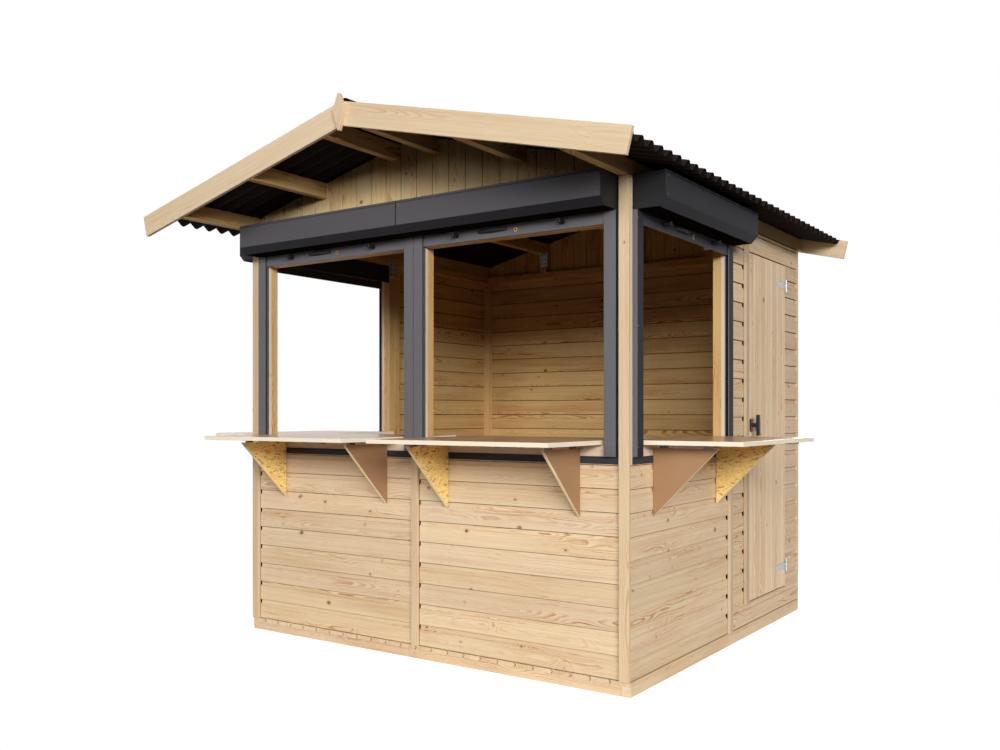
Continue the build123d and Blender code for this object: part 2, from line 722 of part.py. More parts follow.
def knuckle(z_low, z_high, bore=0.0):
    tube = Pos(hinge_x, hinge_y, z_low) * extrude(Circle(KNUCKLE_RADIUS), amount=z_high - z_low)
    if bore:
        tube = tube - Pos(hinge_x, hinge_y, z_low) * extrude(Circle(bore), amount=z_high - z_low)
    return tube


def door_hinges():
    """Strap hinges: plate, outer knuckles and pin stay; strap and middle knuckle turn."""
    fixed, moving = [], []
    sheet = (wall_x, wall_x + HINGE_SHEET)
    third = HINGE_HEIGHT / 3
    reach = KNUCKLE_RADIUS + HINGE_CLEAR
    for middle in hinge_heights:
        low, high = middle - HINGE_HEIGHT / 2, middle + HINGE_HEIGHT / 2
        plate = block(sheet, (hinge_y, hinge_y + HINGE_PLATE), (low, high))
        relief = block((wall_x, hinge_x + reach), (hinge_y - reach, hinge_y + reach),
                       (low + third - KNUCKLE_GAP, high - third + KNUCKLE_GAP))
        pin = Pos(hinge_x, hinge_y, low) * extrude(Circle(PIN_RADIUS), amount=HINGE_HEIGHT)
        ends = knuckle(low, low + third - KNUCKLE_GAP) + knuckle(high - third + KNUCKLE_GAP, high)
        fixed.append((plate - relief) + ends + pin)
        root, tip = HINGE_STRAP_ROOT / 2, HINGE_STRAP_TIP / 2
        strap_y = (door_hung - HINGE_STRAP, hinge_y - reach)
        strap = plate_yz([(strap_y[0], middle - tip), (strap_y[1], middle - root),
                          (strap_y[1], middle + root), (strap_y[0], middle + tip)], *sheet)
        tongue = block(sheet, (strap_y[1], hinge_y), (low + third, high - third))
        barrel = knuckle(low + third, high - third, PIN_RADIUS + PIN_CLEAR)
        bore = Pos(hinge_x, hinge_y, low) * extrude(Circle(PIN_RADIUS + PIN_CLEAR), amount=HINGE_HEIGHT)
        moving.append(((strap + tongue) - bore) + barrel)
    save("door_hinge_plates", *fixed)
    save("door_hinge_straps", *moving)


def door_handle():
    """A T-shaped lever on a rose, near the free edge."""
    y = door_free + T_HANDLE_INSET
    rose = block((wall_x, wall_x + ROSE_THICK), (y - ROSE_WIDTH / 2, y + ROSE_WIDTH / 2),
                 (T_HANDLE_HEIGHT - ROSE_HEIGHT / 2, T_HANDLE_HEIGHT + ROSE_HEIGHT / 2))
    rose = fillet(rose.edges().filter_by(Axis.X), ROSE_WIDTH * 0.3)
    outward = Plane((wall_x + ROSE_THICK, y, T_HANDLE_HEIGHT), x_dir=(0, 1, 0), z_dir=(1, 0, 0))
    neck = extrude(outward * Circle(NECK_RADIUS), amount=NECK_LENGTH)
    grip_x = wall_x + ROSE_THICK + NECK_LENGTH
    half, end = GRIP_LENGTH / 2, GRIP_END / 2
    belly = GRIP_MIDDLE / 2
    grip = plate_yz([(y - end, T_HANDLE_HEIGHT - half), (y + end, T_HANDLE_HEIGHT - half),
                     (y + belly, T_HANDLE_HEIGHT), (y + end, T_HANDLE_HEIGHT + half),
                     (y - end, T_HANDLE_HEIGHT + half), (y - belly, T_HANDLE_HEIGHT)],
                    grip_x, grip_x + GRIP_THICK)
    save("door_handle", rose + neck + grip)


# ---------------------------------------------------------------- the whole stall

os.makedirs("parts", exist_ok=True)
base()
walls()
trims()
posts()
rails()
linings()
gables(roof_parts())
window_sills()
guide_rails()
shutter_boxes()
shutter_fittings()
counter_supports(*counters())
door_frame()
door_leaf()
door_hinges()
door_handle()
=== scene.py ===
import math

import bmesh
import bpy
from mathutils import Matrix, Vector


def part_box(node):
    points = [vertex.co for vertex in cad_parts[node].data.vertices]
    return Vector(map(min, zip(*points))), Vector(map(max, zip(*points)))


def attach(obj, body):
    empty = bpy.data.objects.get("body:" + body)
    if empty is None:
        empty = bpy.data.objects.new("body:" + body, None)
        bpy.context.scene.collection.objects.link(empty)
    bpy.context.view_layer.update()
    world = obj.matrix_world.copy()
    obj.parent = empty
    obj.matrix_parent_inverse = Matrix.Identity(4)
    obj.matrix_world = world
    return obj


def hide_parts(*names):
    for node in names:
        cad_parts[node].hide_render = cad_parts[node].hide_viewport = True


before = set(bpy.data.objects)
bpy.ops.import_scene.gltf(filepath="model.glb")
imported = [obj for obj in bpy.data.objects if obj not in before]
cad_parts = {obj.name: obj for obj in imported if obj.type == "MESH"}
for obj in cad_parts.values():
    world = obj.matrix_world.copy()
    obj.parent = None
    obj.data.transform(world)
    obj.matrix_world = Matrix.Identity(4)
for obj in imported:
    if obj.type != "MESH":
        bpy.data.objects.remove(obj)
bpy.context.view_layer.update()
scene = bpy.context.scene

# ---------------------------------------------------------------- floor
# Bearers of squared timber lie on the ground, with tongued boards nailed across them from
# front to back. The board ends show along the front as a row of small tongue joints.

# All timber is planed pine, left unpainted: pale cream boards with warm growth rings that
# close up round small dark knots. The rings follow the length of each single board, so every
# timber carries its own "grain" and "board" values.


def feed(tree, sockets, values):
    """Sets inputs, or joins them to what runs into them."""
    for name, value in values.items():
        value = getattr(value, "socket", value)
        if isinstance(value, bpy.types.NodeSocket):
            tree.links.new(value, sockets[name])
        else:
            sockets[name].default_value = value


def shade(tree, kind, inputs=None, **settings):
    """A node with its settings and inputs."""
    made = tree.nodes.new(kind)
    for name, value in settings.items():
        setattr(made, name, value)
    feed(tree, made.inputs, inputs or {})
    return made


def sums(tree, operation, first, second=0.0, clamp=False):
    return Flow(tree, shade(tree, "ShaderNodeMath", {0: first, 1: second}, operation=operation,
                            use_clamp=clamp).outputs[0])


class Flow:
    """A number that runs through a node tree. Plain arithmetic on it adds the nodes for it."""

    def __init__(self, tree, socket):
        self.tree, self.socket = tree, socket

    def __add__(self, other):
        return sums(self.tree, "ADD", self, other)

    def __sub__(self, other):
        return sums(self.tree, "SUBTRACT", self, other)

    def __rsub__(self, other):
        return sums(self.tree, "SUBTRACT", other, self)

    def __mul__(self, other):
        return sums(self.tree, "MULTIPLY", self, other)

    def __truediv__(self, other):
        return sums(self.tree, "DIVIDE", self, other)


def ease(tree, value, start, end, low=0.0, high=1.0):
    """A smooth step from low to high while the value goes from start to end."""
    return Flow(tree, shade(tree, "ShaderNodeMapRange", {
        "Value": value, "From Min": start, "From Max": end, "To Min": low, "To Max": high},
        interpolation_type="SMOOTHSTEP").outputs[0])


def blend_colours(tree, share, first, second, way="MIX"):
    return shade(tree, "ShaderNodeMix", {"Factor": share, 6: first, 7: second}, data_type="RGBA",
                 blend_type=way).outputs[2]


def point(tree, x, y, z):
    return shade(tree, "ShaderNodeCombineXYZ", {0: x, 1: y, 2: z}).outputs[0]


def vectors(tree, operation, first, second=(0.0, 0.0, 0.0)):
    return shade(tree, "ShaderNodeVectorMath", {0: first, 1: second}, operation=operation).outputs


def split(tree, socket, kind="Color"):
    """The three numbers of a colour, or of a vector where kind is XYZ."""
    return [Flow(tree, part) for part in shade(tree, "ShaderNodeSeparate" + kind, {0: socket}).outputs]


def noise(tree, place, scale, detail):
    return Flow(tree, shade(tree, "ShaderNodeTexNoise", {"Vector": place, "Scale": scale,
                                                         "Detail": detail}).outputs[0])


def new_group(name, inputs, outputs):
    group = bpy.data.node_groups.new(name, "ShaderNodeTree")
    for label, kind, value in inputs:
        socket = group.interface.new_socket(label, in_out="INPUT", socket_type=kind)
        if value is not None:
            socket.default_value = value
    for label, kind in outputs:
        group.interface.new_socket(label, in_out="OUTPUT", socket_type=kind)
    return group, group.nodes.new("NodeGroupInput").outputs, group.nodes.new("NodeGroupOutput").inputs


COLOUR, NUMBER, VECTOR = "NodeSocketColor", "NodeSocketFloat", "NodeSocketVector"


def pine_group():
    tree, given, result = new_group("pine grain", [
        ("Grain", VECTOR, None), ("Board", NUMBER, 0.0), ("Pale", COLOUR, (0.80, 0.64, 0.440, 1)),
        ("Warm", COLOUR, (0.49, 0.205, 0.065, 1)), ("Knots", NUMBER, 0.46), ("Flame", NUMBER, 1.15),
        ("Joint", NUMBER, 0.0), ("Room", NUMBER, 0.0)],
        [("Color", COLOUR), ("Roughness", NUMBER), ("Height", NUMBER)])
    number = Flow(tree, given["Board"])
    own = shade(tree, "ShaderNodeTexWhiteNoise", {"W": number * 913.7}, noise_dimensions="1D").outputs
    luck = split(tree, own["Color"])
    place = split(tree, given["Grain"], "XYZ")
    along = place[0] + number * 53.0

    def stretched(length, width):
        """The place in the board, on scales of its own along and across it."""
        return point(tree, along * length, place[1] * width, place[2] * width)

    # the pith wanders slowly beside the board
    drift = shade(tree, "ShaderNodeTexNoise", {"Vector": stretched(1.4, 5.0), "Scale": 1.0, "Detail": 2.0})
    sway = split(tree, drift.outputs["Color"])
    aside = place[1] + ((luck[0] - 0.5) * 0.11 + (sway[0] - 0.5) * 0.09)
    below = place[2] + ((luck[1] * 0.06 + 0.012) + (sway[1] - 0.5) * 0.07)
    radius = sums(tree, "SQRT", aside * aside + below * below)

    # knots run through the board, drawn out along it, and the rings bulge round them
    stretch = (3.4, 5.5, 1.0)
    field = vectors(tree, "MULTIPLY", point(tree, along, place[1] + luck[2] * 1.7, 0.0), stretch)[0]
    cell = shade(tree, "ShaderNodeTexVoronoi", {"Vector": field, "Scale": 1.0},
                 voronoi_dimensions="2D").outputs
    chance = split(tree, cell["Color"])
    has = sums(tree, "LESS_THAN", chance[0], given["Knots"])
    offset = vectors(tree, "SUBTRACT", field, cell["Position"])[0]
    offset = vectors(tree, "DIVIDE", offset, (stretch[0] * 1.35, stretch[1], 1.0))[0]
    size = sums(tree, "POWER", chance[1], 3.0) * 0.0075 + 0.0018
    beyond = Flow(tree, vectors(tree, "LENGTH", offset)["Value"]) - size
    knot = ease(tree, beyond, 0.0012, -0.0008) * has
    rim = knot * ease(tree, beyond, -0.0042, -0.0008)
    halo = ease(tree, beyond, 0.012, 0.0) * has
    bulge = ease(tree, beyond, 0.040, 0.0, 0.0, 0.013) * has

    # one turn is one year: pale early wood, then a darker late ring that ends sharply
    wander = noise(tree, stretched(7.0, 60.0), 1.0, 3.0)
    ragged = noise(tree, stretched(60.0, 420.0), 1.0, 2.0)
    turns = (radius + bulge) / 0.0038 + (wander * 1.2 + ragged * 0.45)
    ring = sums(tree, "FRACT", turns)
    year = Flow(tree, shade(tree, "ShaderNodeTexWhiteNoise", {"W": sums(tree, "FLOOR", turns)},
                            noise_dimensions="1D").outputs["Value"])
    late = ease(tree, ring, 0.30, 0.90) * ease(tree, ring, 1.0, 0.94) * (year * 0.65 + 0.35)
    patch = noise(tree, point(tree, along * 1.3, place[1] * 9.0, luck[0] * 7.0), 1.0, 2.0)
    strong = ease(tree, patch, 0.42, 0.66, 0.18, 1.0) * sums(
        tree, "ADD", given["Flame"], Flow(tree, given["Room"]) * 0.5)
    fibre = noise(tree, stretched(11.0, 520.0), 1.0, 3.0)
    streak = noise(tree, stretched(1.1, 75.0), 1.0, 2.0)

    share = sums(tree, "ADD", late * strong, Flow(tree, own["Value"]) * 0.10 + (
        (fibre - 0.5) * 0.30 + (streak - 0.5) * 0.55), clamp=True)
    wood = blend_colours(tree, share, given["Pale"], given["Warm"])
    light = luck[1] * 0.11 + 0.93
    tint = shade(tree, "ShaderNodeCombineColor", {0: light, 1: light, 2: light * (luck[2] * 0.09 + 0.94)})
    wood = blend_colours(tree, 1.0, wood, tint.outputs[0], "MULTIPLY")
    for amount, colour in ((halo * 0.38, (0.42, 0.19, 0.065, 1)), (knot * 0.85, (0.18, 0.075, 0.028, 1)),
                           (rim * 0.75, (0.060, 0.028, 0.014, 1))):
        wood = blend_colours(tree, amount, wood, colour)
    # faces in the gaps take painted shade, and faces on the room's side a darker, warmer painted shade
    for label, colour in (("Joint", (0.30, 0.17, 0.085, 1)), ("Room", (0.87, 0.755, 0.50, 1))):
        wood = blend_colours(tree, given[label], wood, colour, "MULTIPLY")
    feed(tree, result, {"Color": wood, "Roughness": 0.62 - late * 0.12,
                        "Height": late * 0.5 + fibre * 0.5})
    return tree


grain_group = pine_group()


def wood_material(name, **values):
    """Planed pine, with its own tones, share of knots and strength of rings."""
    material = bpy.data.materials.new(name)
    material.use_nodes = True
    tree = material.node_tree
    inputs = {"Grain": shade(tree, "ShaderNodeAttribute", attribute_name="grain").outputs["Vector"]}
    for label in ("Board", "Joint", "Room"):
        inputs[label] = shade(tree, "ShaderNodeAttribute", attribute_name=label.lower()).outputs["Fac"]
    figure = shade(tree, "ShaderNodeGroup", {**inputs, **values}, node_tree=grain_group).outputs
    relief = shade(tree, "ShaderNodeBump", {"Height": figure["Height"], "Strength": 0.35,
                                            "Distance": 0.0008})
    feed(tree, tree.nodes["Principled BSDF"].inputs, {
        "Base Color": figure["Color"], "Roughness": figure["Roughness"],
        "Normal": relief.outputs["Normal"], "Specular IOR Level": 0.12})
    return material


pine = wood_material("pine")


def put(name, mesh, material, body, slot, *nodes):
    """The piece in the scene, on its body, standing for the CAD nodes that it dresses."""
    piece = bpy.data.objects.new(name, mesh)
    scene.collection.objects.link(piece)
    mesh.materials.clear()
    mesh.materials.append(material)
    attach(piece, body)
    if nodes:
        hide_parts(*nodes)
    return piece


def merged(node):
    """A closed copy of a CAD node's mesh, with flat faces whole again."""
    work = bmesh.new()
    work.from_mesh(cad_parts[node].data)
    bmesh.ops.remove_doubles(work, verts=work.verts, dist=1e-5)
    bmesh.ops.dissolve_limit(work, angle_limit=math.radians(0.4), verts=work.verts, edges=work.edges)
    return work


def mesh_of(name, work):
    """A plain mesh from one that was worked on."""
    mesh = bpy.data.meshes.new(name)
    work.to_mesh(mesh)
    work.free()
    return mesh


def islands(work):
    """The separate solids of a mesh, as lists of vertices."""
    left, found = set(work.verts), []
    while left:
        stack, group = [left.pop()], []
        while stack:
            at = stack.pop()
            group.append(at)
            for edge in at.link_edges:
                other = edge.other_vert(at)
                if other in left:
                    left.remove(other)
                    stack.append(other)
        found.append(group)
    return sorted(found, key=lambda g: tuple(round(c, 3) for c in min(tuple(v.co) for v in g)))


def ahead(axis):
    """The axis turned so that its largest part is positive, whichever way it was found."""
    axis = axis.normalized()
    return axis if max(axis, key=abs) > 0 else -axis


def ranked(size, axis):
    """A rank by size, and between equal sizes by direction, so that each run picks the same one."""
    return (round(size, 5), *(round(part, 3) for part in axis))


def board_axes(group):
    """Length, width and thickness directions of one timber, and its middle."""
    edges = {e for v in group for e in v.link_edges}
    faces = {f for v in group for f in v.link_faces}
    runs = [(e.calc_length(), ahead(e.verts[1].co - e.verts[0].co)) for e in edges]
    length = max(runs, key=lambda run: ranked(*run))[1]
    sides = [(f.calc_area(), ahead(f.normal)) for f in faces if abs(f.normal.dot(length)) < 0.3]
    flat = max(sides, key=lambda side: ranked(*side))[1]
    thick = (flat - length * flat.dot(length)).normalized()
    wide = thick.cross(length)
    middle = []
    for axis in (length, wide, thick):
        reach = [v.co.dot(axis) for v in group]
        middle.append((min(reach) + max(reach)) / 2)
    return (length, wide, thick), middle


GOLDEN = 0.6180339887     # steps of this size give neighbours unlike numbers
SEED_STEP = 0.3819
SHARP = 0.3               # radians between two faces


def write_grain(work, mesh, frames, tag, seed):
    """Stores how far each point lies along, across and into its own board."""
    work.verts.ensure_lookup_table()
    grain, own = [], []
    for v in work.verts:
        axes, middle = frames[v[tag]]
        grain += [v.co.dot(axis) - at for axis, at in zip(axes, middle)]
        own.append(((v[tag] + 1) * GOLDEN + seed * SEED_STEP) % 1.0)
    work.to_mesh(mesh)
    mesh.attributes.new("grain", "FLOAT_VECTOR", "POINT").data.foreach_set("vector", grain)
    mesh.attributes.new("board", "FLOAT", "POINT").data.foreach_set("value", own)


def number_timbers(work):
    """Numbers the separate timbers of a mesh, and finds the directions of each."""
    tag = work.verts.layers.int.new("timber")
    frames = []
    for index, group in enumerate(islands(work)):
        frames.append(board_axes(group))
        for v in group:
            v[tag] = index
    return tag, frames


def turn_edges(work, width):
    """Rounds the sharp edges a little."""
    sharp = [e for e in work.edges if len(e.link_faces) == 2 and e.calc_face_angle() > SHARP]
    bmesh.ops.bevel(work, geom=sharp, offset=width, segments=2, profile=0.5, affect="EDGES",
                    clamp_overlap=True)


def timbers(name, nodes, seed, edge=0.0015, material=pine, slot="pine"):
    """Squared timbers from CAD nodes, with their edges eased and the grain along each one."""
    work = bmesh.new()
    for node in nodes:
        mesh = mesh_of("part", merged(node))
        work.from_mesh(mesh)
        bpy.data.meshes.remove(mesh)
    tag, frames = number_timbers(work)
    turn_edges(work, edge)
    mesh = bpy.data.meshes.new(name)
    write_grain(work, mesh, frames, tag, seed)
    work.free()
    return put(name, mesh, material, "root", slot, *nodes)


timbers("floor_bearers_timber", ["floor_bearers"], seed=3, slot="floor_pine")

BOARD_STEP = 0.100


def extruded_board(name, outline, length, in_joint):
    """A board lying along +X from 0 to its length, its section given as (up, outwards) pairs.
    Faces whose middle the given test puts in a gap are marked for painted shade, the shade that
    falls in the gaps; so is the face on the room's side, for a darker, warmer painted shade inside."""
    mesh = bpy.data.meshes.new(name)
    count = len(outline)
    points = [(x, -out, up) for x in (0.0, length) for up, out in outline]
    faces = [list(range(count)), list(range(2 * count - 1, count - 1, -1))]
    faces += [[(k + 1) % count, k, count + k, count + (k + 1) % count] for k in range(count)]
    mesh.from_pydata(points, [], faces)
    work = bmesh.new()
    work.from_mesh(mesh)
    bmesh.ops.recalc_face_normals(work, faces=work.faces)
    work.to_mesh(mesh)
    work.free()
    ups, outs = [p[0] for p in outline], [p[1] for p in outline]
    middle = (length / 2, (min(ups) + max(ups)) / 2, (min(outs) + max(outs)) / 2)
    grain = []
    for x, minus_out, up in points:
        grain += [x - middle[0], up - middle[1], -minus_out - middle[2]]
    mesh.attributes.new("grain", "FLOAT_VECTOR", "POINT").data.foreach_set("vector", grain)
    joint, room, back = [0.0, 0.0], [0.0, 0.0], min(outs)
    for k in range(count):
        (up, out), (next_up, next_out) = outline[k], outline[(k + 1) % count]
        joint.append(float(in_joint((up + next_up) / 2, (out + next_out) / 2)))
        room.append(float(max(out, next_out) < back + 1e-5))
    mesh.attributes.new("joint", "FLOAT", "FACE").data.foreach_set("value", joint)
    mesh.attributes.new("room", "FLOAT", "FACE").data.foreach_set("value", room)
    return bpy.data.objects.new(name, mesh)


def row_tree():
    """Geometry nodes: a row of like boards, each with its own number, cut off at two limits.
    The upper limit may fall away to both sides of X = 0, as under a gable roof."""
    tree = bpy.data.node_groups.new("row of boards", "GeometryNodeTree")
    face = tree.interface
    for label, kind, value in (("Board", "NodeSocketObject", None), ("Count", "NodeSocketInt", 5),
                               ("First", VECTOR, None), ("Step", VECTOR, None),
                               ("Lowest", VECTOR, None), ("Highest", VECTOR, None),
                               ("Slope", NUMBER, 0.0), ("Seed", "NodeSocketInt", 1),
                               ("Material", "NodeSocketMaterial", None)):
        socket = face.new_socket(label, in_out="INPUT", socket_type=kind)
        if value is not None:
            socket.default_value = value
    face.new_socket("Geometry", in_out="OUTPUT", socket_type="NodeSocketGeometry")
    given = tree.nodes.new("NodeGroupInput").outputs
    line = shade(tree, "GeometryNodeMeshLine", {
        "Count": given["Count"], "Start Location": given["First"], "Offset": given["Step"]}, mode="OFFSET")
    board = shade(tree, "GeometryNodeObjectInfo", {"Object": given["Board"]})
    put_on = shade(tree, "GeometryNodeInstanceOnPoints", {"Points": line.outputs[0],
                   "Instance": board.outputs["Geometry"]})
    number = shade(tree, "FunctionNodeRandomValue", {"Seed": given["Seed"],
                   "ID": shade(tree, "GeometryNodeInputIndex").outputs[0]}, data_type="FLOAT")
    own = shade(tree, "GeometryNodeStoreNamedAttribute", {
        "Geometry": put_on.outputs[0], "Name": "board", "Value": number.outputs[1]},
        data_type="FLOAT", domain="INSTANCE")
    real = shade(tree, "GeometryNodeRealizeInstances", {"Geometry": own.outputs[0]})
    here = shade(tree, "GeometryNodeInputPosition").outputs[0]
    fall = sums(tree, "ABSOLUTE", split(tree, here, "XYZ")[0]) * given["Slope"]
    top = vectors(tree, "SUBTRACT", given["Highest"], point(tree, 0.0, 0.0, fall))[0]
    below = vectors(tree, "MINIMUM", here, top)[0]
    between = vectors(tree, "MAXIMUM", below, given["Lowest"])[0]
    cut = shade(tree, "GeometryNodeSetPosition", {"Geometry": real.outputs[0], "Position": between})
    whole = shade(tree, "GeometryNodeMergeByDistance", {"Geometry": cut.outputs[0], "Distance": 0.00005})
    dressed = shade(tree, "GeometryNodeSetMaterial", {"Geometry": whole.outputs[0],
                    "Material": given["Material"]})
    tree.links.new(dressed.outputs[0], tree.nodes.new("NodeGroupOutput").inputs[0])
    return tree


def grown(tree, values):
    """Runs a tree with its named inputs, and gives back the plain mesh that it makes."""
    holder = bpy.data.objects.new("holder", bpy.data.meshes.new("holder"))
    scene.collection.objects.link(holder)
    modifier = holder.modifiers.new("made", "NODES")
    modifier.node_group = tree
    sockets = {s.name: s.identifier for s in tree.interface.items_tree if s.in_out == "INPUT"}
    for label, value in values.items():
        modifier[sockets[label]] = value
    bpy.context.view_layer.update()
    graph = bpy.context.evaluated_depsgraph_get()
    mesh = bpy.data.meshes.new_from_object(holder.evaluated_get(graph), preserve_all_data_layers=True,
                                           depsgraph=graph)
    holder.modifiers.clear()
    bpy.data.objects.remove(holder)
    return mesh


row_of_boards = row_tree()
FAR = 50.0


def board_row(board, count, first, step, lowest=(-FAR, -FAR, -FAR), highest=(FAR, FAR, FAR),
              slope=0.0, seed=1, turn=None):
    mesh = grown(row_of_boards, {"Board": board, "Count": count, "First": first, "Step": step,
                                 "Lowest": lowest, "Highest": highest, "Slope": slope, "Seed": seed,
                                 "Material": pine})
    if turn is not None:
        mesh.transform(turn)
    return mesh


def joined(name, meshes, material, body, slot, *nodes):
    """Several meshes as one piece."""
    work = bmesh.new()
    for mesh in meshes:
        work.from_mesh(mesh)
    put(name, mesh_of(name, work), material, body, slot, *nodes)


floor_low, floor_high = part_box("floor_boards")
floor_thick = floor_high.z - floor_low.z
floor_length = floor_high.y - floor_low.y
FACE_EDGE = 0.0965        # the boards' faces leave a fine gap
TONGUE_TIP = 0.1015
TONGUE_LOW, TONGUE_HIGH = 0.0075, 0.0130
GROOVE = 0.006
floor_section = [(0, 0), (FACE_EDGE, 0), (FACE_EDGE, TONGUE_LOW), (TONGUE_TIP, TONGUE_LOW + 0.0005),
                 (TONGUE_TIP, TONGUE_HIGH - 0.0005), (FACE_EDGE, TONGUE_HIGH),
                 (FACE_EDGE, floor_thick - 0.0015), (FACE_EDGE - 0.001, floor_thick),
                 (0.001, floor_thick), (0, floor_thick - 0.0015), (0, TONGUE_HIGH + 0.0005),
                 (GROOVE, TONGUE_HIGH), (GROOVE, TONGUE_LOW - 0.0005), (0, TONGUE_LOW - 0.0010)]
# the faces on the board's edges, in the gaps between boards, take painted shade
floor_board = extruded_board("floor_board", floor_section, floor_length,
                             lambda up, out: up > FACE_EDGE - 0.0001 or up < 0.0005)
# boards lie flat: their section's "up" becomes X and "outwards" becomes Z
lay_flat = Matrix(((0, 0, 1, 0), (1, 0, 0, 0), (0, -1, 0, 0), (0, 0, 0, 1)))
floor_count = int(round((floor_high.x - floor_low.x) / BOARD_STEP))
floor_mesh = board_row(floor_board, floor_count, (0, 0, 0), (0, 0, BOARD_STEP), (-FAR, -FAR, 0.0),
                       (FAR, FAR, floor_high.x - floor_low.x), seed=5, turn=lay_flat)
floor_mesh.transform(Matrix.Translation((floor_low.x, floor_low.y, floor_low.z)))
# the outermost boards are ripped flush with the bearers
for v in floor_mesh.vertices:
    if abs(v.co.x) > floor_high.x - GROOVE - 0.0005:
        v.co.x = math.copysign(floor_high.x, v.co.x)
# the sawn outer faces of the outermost boards lie in the open, so they take no painted gap shade
for face in floor_mesh.polygons:
    if abs(face.center.x) > floor_high.x - 0.0001:
        floor_mesh.attributes["joint"].data[face.index].value = 0.0
joined("floor_boards_tongued", [floor_mesh], pine, "root", "floor_pine", "floor_boards")

# ---------------------------------------------------------------- wall frame
# Studs, plates and rails of squared timber, screwed together. They show inside the stall and
# round the windows. Boards of the siding's thickness line the frame beside the guide rails.

# the frame and purlins inside take the darker, warmer painted shade of the room side
room_pine = wood_material("room pine", Room=1.0)
lining_pine = wood_material("lining pine", Knots=0.25, Flame=0.60, Pale=(0.80, 0.68, 0.53, 1))
timbers("wall_frame", ["wall_posts", "wall_rails"], seed=7, material=room_pine)
timbers("window_linings", ["window_linings_level", "window_linings_upright"], seed=11,
        material=lining_pine)

# ---------------------------------------------------------------- siding
# Drop siding, nailed to the frame: each board has a flat face and a hollowed upper edge, and
# the next board's lip covers its tongue. The trims and battens are nailed on top.

SIDING_STEP = 0.104
SIDING_THICK = 0.020
COVE = 0.026
COVE_DEPTH = 0.0088
SLOT = 0.0032             # dark gap under each lip
SLOT_DEPTH = 0.007
TONGUE = 0.007            # reaches this far behind the next board
BACK_FOOT = 0.0125        # the back starts this high, over the tongue of the board below
cove_foot = SIDING_STEP - COVE
slot_foot = SIDING_STEP - SLOT
deep = SIDING_THICK - COVE_DEPTH
tongue_face = deep - SLOT_DEPTH
siding_section = [(0.0008, SIDING_THICK - 0.0002), (0.0022, SIDING_THICK), (cove_foot, SIDING_THICK),
                  (cove_foot + 0.0012, SIDING_THICK - 0.0028),
                  (cove_foot + 0.0042, SIDING_THICK - 0.0060), (cove_foot + 0.0090, deep + 0.0008),
                  (SIDING_STEP - 0.012, deep), (slot_foot, deep), (slot_foot, tongue_face),
                  (SIDING_STEP + TONGUE, tongue_face), (SIDING_STEP + TONGUE, 0.0), (BACK_FOOT, 0.0),
                  (BACK_FOOT, tongue_face + 0.0006), (0.0, tongue_face + 0.0006),
                  (0.0, SIDING_THICK - 0.0012)]
siding_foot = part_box("front_wall")[0].z


# faces in the slot under each lip, on the lip's underside and behind it take painted shade
def in_siding_joint(up, out):
    behind_lip = up < BACK_FOOT + 0.0001 and out < -SIDING_THICK / 2
    return up > slot_foot - 0.0003 or up < 0.0003 or behind_lip


def siding(length, low, high, seed, foot=siding_foot):
    """Rows on the grid that starts at foot, along +X from 0, facing -Y with the face at Y = 0."""
    board = extruded_board("siding_board", [(up, out - SIDING_THICK) for up, out in siding_section],
                           length, in_siding_joint)
    first = math.floor((low - foot) / SIDING_STEP + 1e-4)
    last = math.ceil((high - foot) / SIDING_STEP - 1e-4)
    return board_row(board, last - first, (0, 0, foot + first * SIDING_STEP), (0, 0, SIDING_STEP),
                     (-FAR, -FAR, low), (FAR, FAR, high), seed=seed)


def on_wall(mesh, side, start, face):
    """Turns a wall's rows to their side, from where they start to where their face lies."""
    turn = {"front": 0, "right": 90, "back": 180, "left": 270}[side]
    place = (start, face, 0) if side in ("front", "back") else (face, start, 0)
    mesh.transform(Matrix.Translation(place) @ Matrix.Rotation(math.radians(turn), 4, "Z"))
    return mesh


def panel(side, face, start, length, low, high, seed, foot=siding_foot):
    """The siding of one wall panel."""
    return on_wall(siding(length, low, high, seed, foot), side, start, face)


front_low, front_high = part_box("front_wall")
back_low, back_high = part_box("back_wall")
fore_low, fore_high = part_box("right_wall_front")
beside_low, beside_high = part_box("right_wall_beside_door")
around_low, around_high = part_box("right_wall_under_and_over_door")
left_low, left_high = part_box("left_wall")
door_low, door_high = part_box("door_leaf")
inner = beside_low.y      # the panels start this far from the middle of a wall
walls = [panel("front", front_low.y, start, front_high.x - inner, front_low.z, front_high.z, seed)
         for start, seed in ((inner, 21), (front_low.x, 22))]
joined("front_siding", walls, pine, "root", "pine", "front_wall")
walls = [panel("back", back_high.y, start, back_high.x - inner, back_low.z, back_high.z, seed)
         for start, seed in ((back_high.x, 23), (-inner, 24))]
joined("back_siding", walls, pine, "root", "pine", "back_wall")

DOOR_GAP = 0.007
before, behind = door_low.y - DOOR_GAP, door_high.y + DOOR_GAP
right_face = fore_high.x
right_panels = [(fore_low.y, fore_high.y, fore_low.z, fore_high.z, 25, siding_foot),
                (beside_low.y, before, beside_low.z, beside_high.z, 26, siding_foot),
                (behind, beside_high.y, beside_low.z, beside_high.z, 27, siding_foot),
                (around_low.y, around_high.y, around_low.z, beside_low.z, 28, siding_foot),
                (around_low.y, around_high.y, beside_high.z, around_high.z, 29, beside_high.z)]
walls = [panel("right", right_face, start, end - start, low, high, seed, foot)
         for start, end, low, high, seed, foot in right_panels]
joined("right_siding", walls, pine, "root", "pine", "right_wall_front", "right_wall_beside_door",
       "right_wall_under_and_over_door")
walls = [panel("left", left_low.x, fore_high.y, fore_high.y - fore_low.y, left_low.z, fore_high.z, 30),
         panel("left", left_low.x, left_high.y, left_high.y - around_low.y, left_low.z, left_high.z, 31)]
joined("left_siding", walls, pine, "root", "pine", "left_wall")
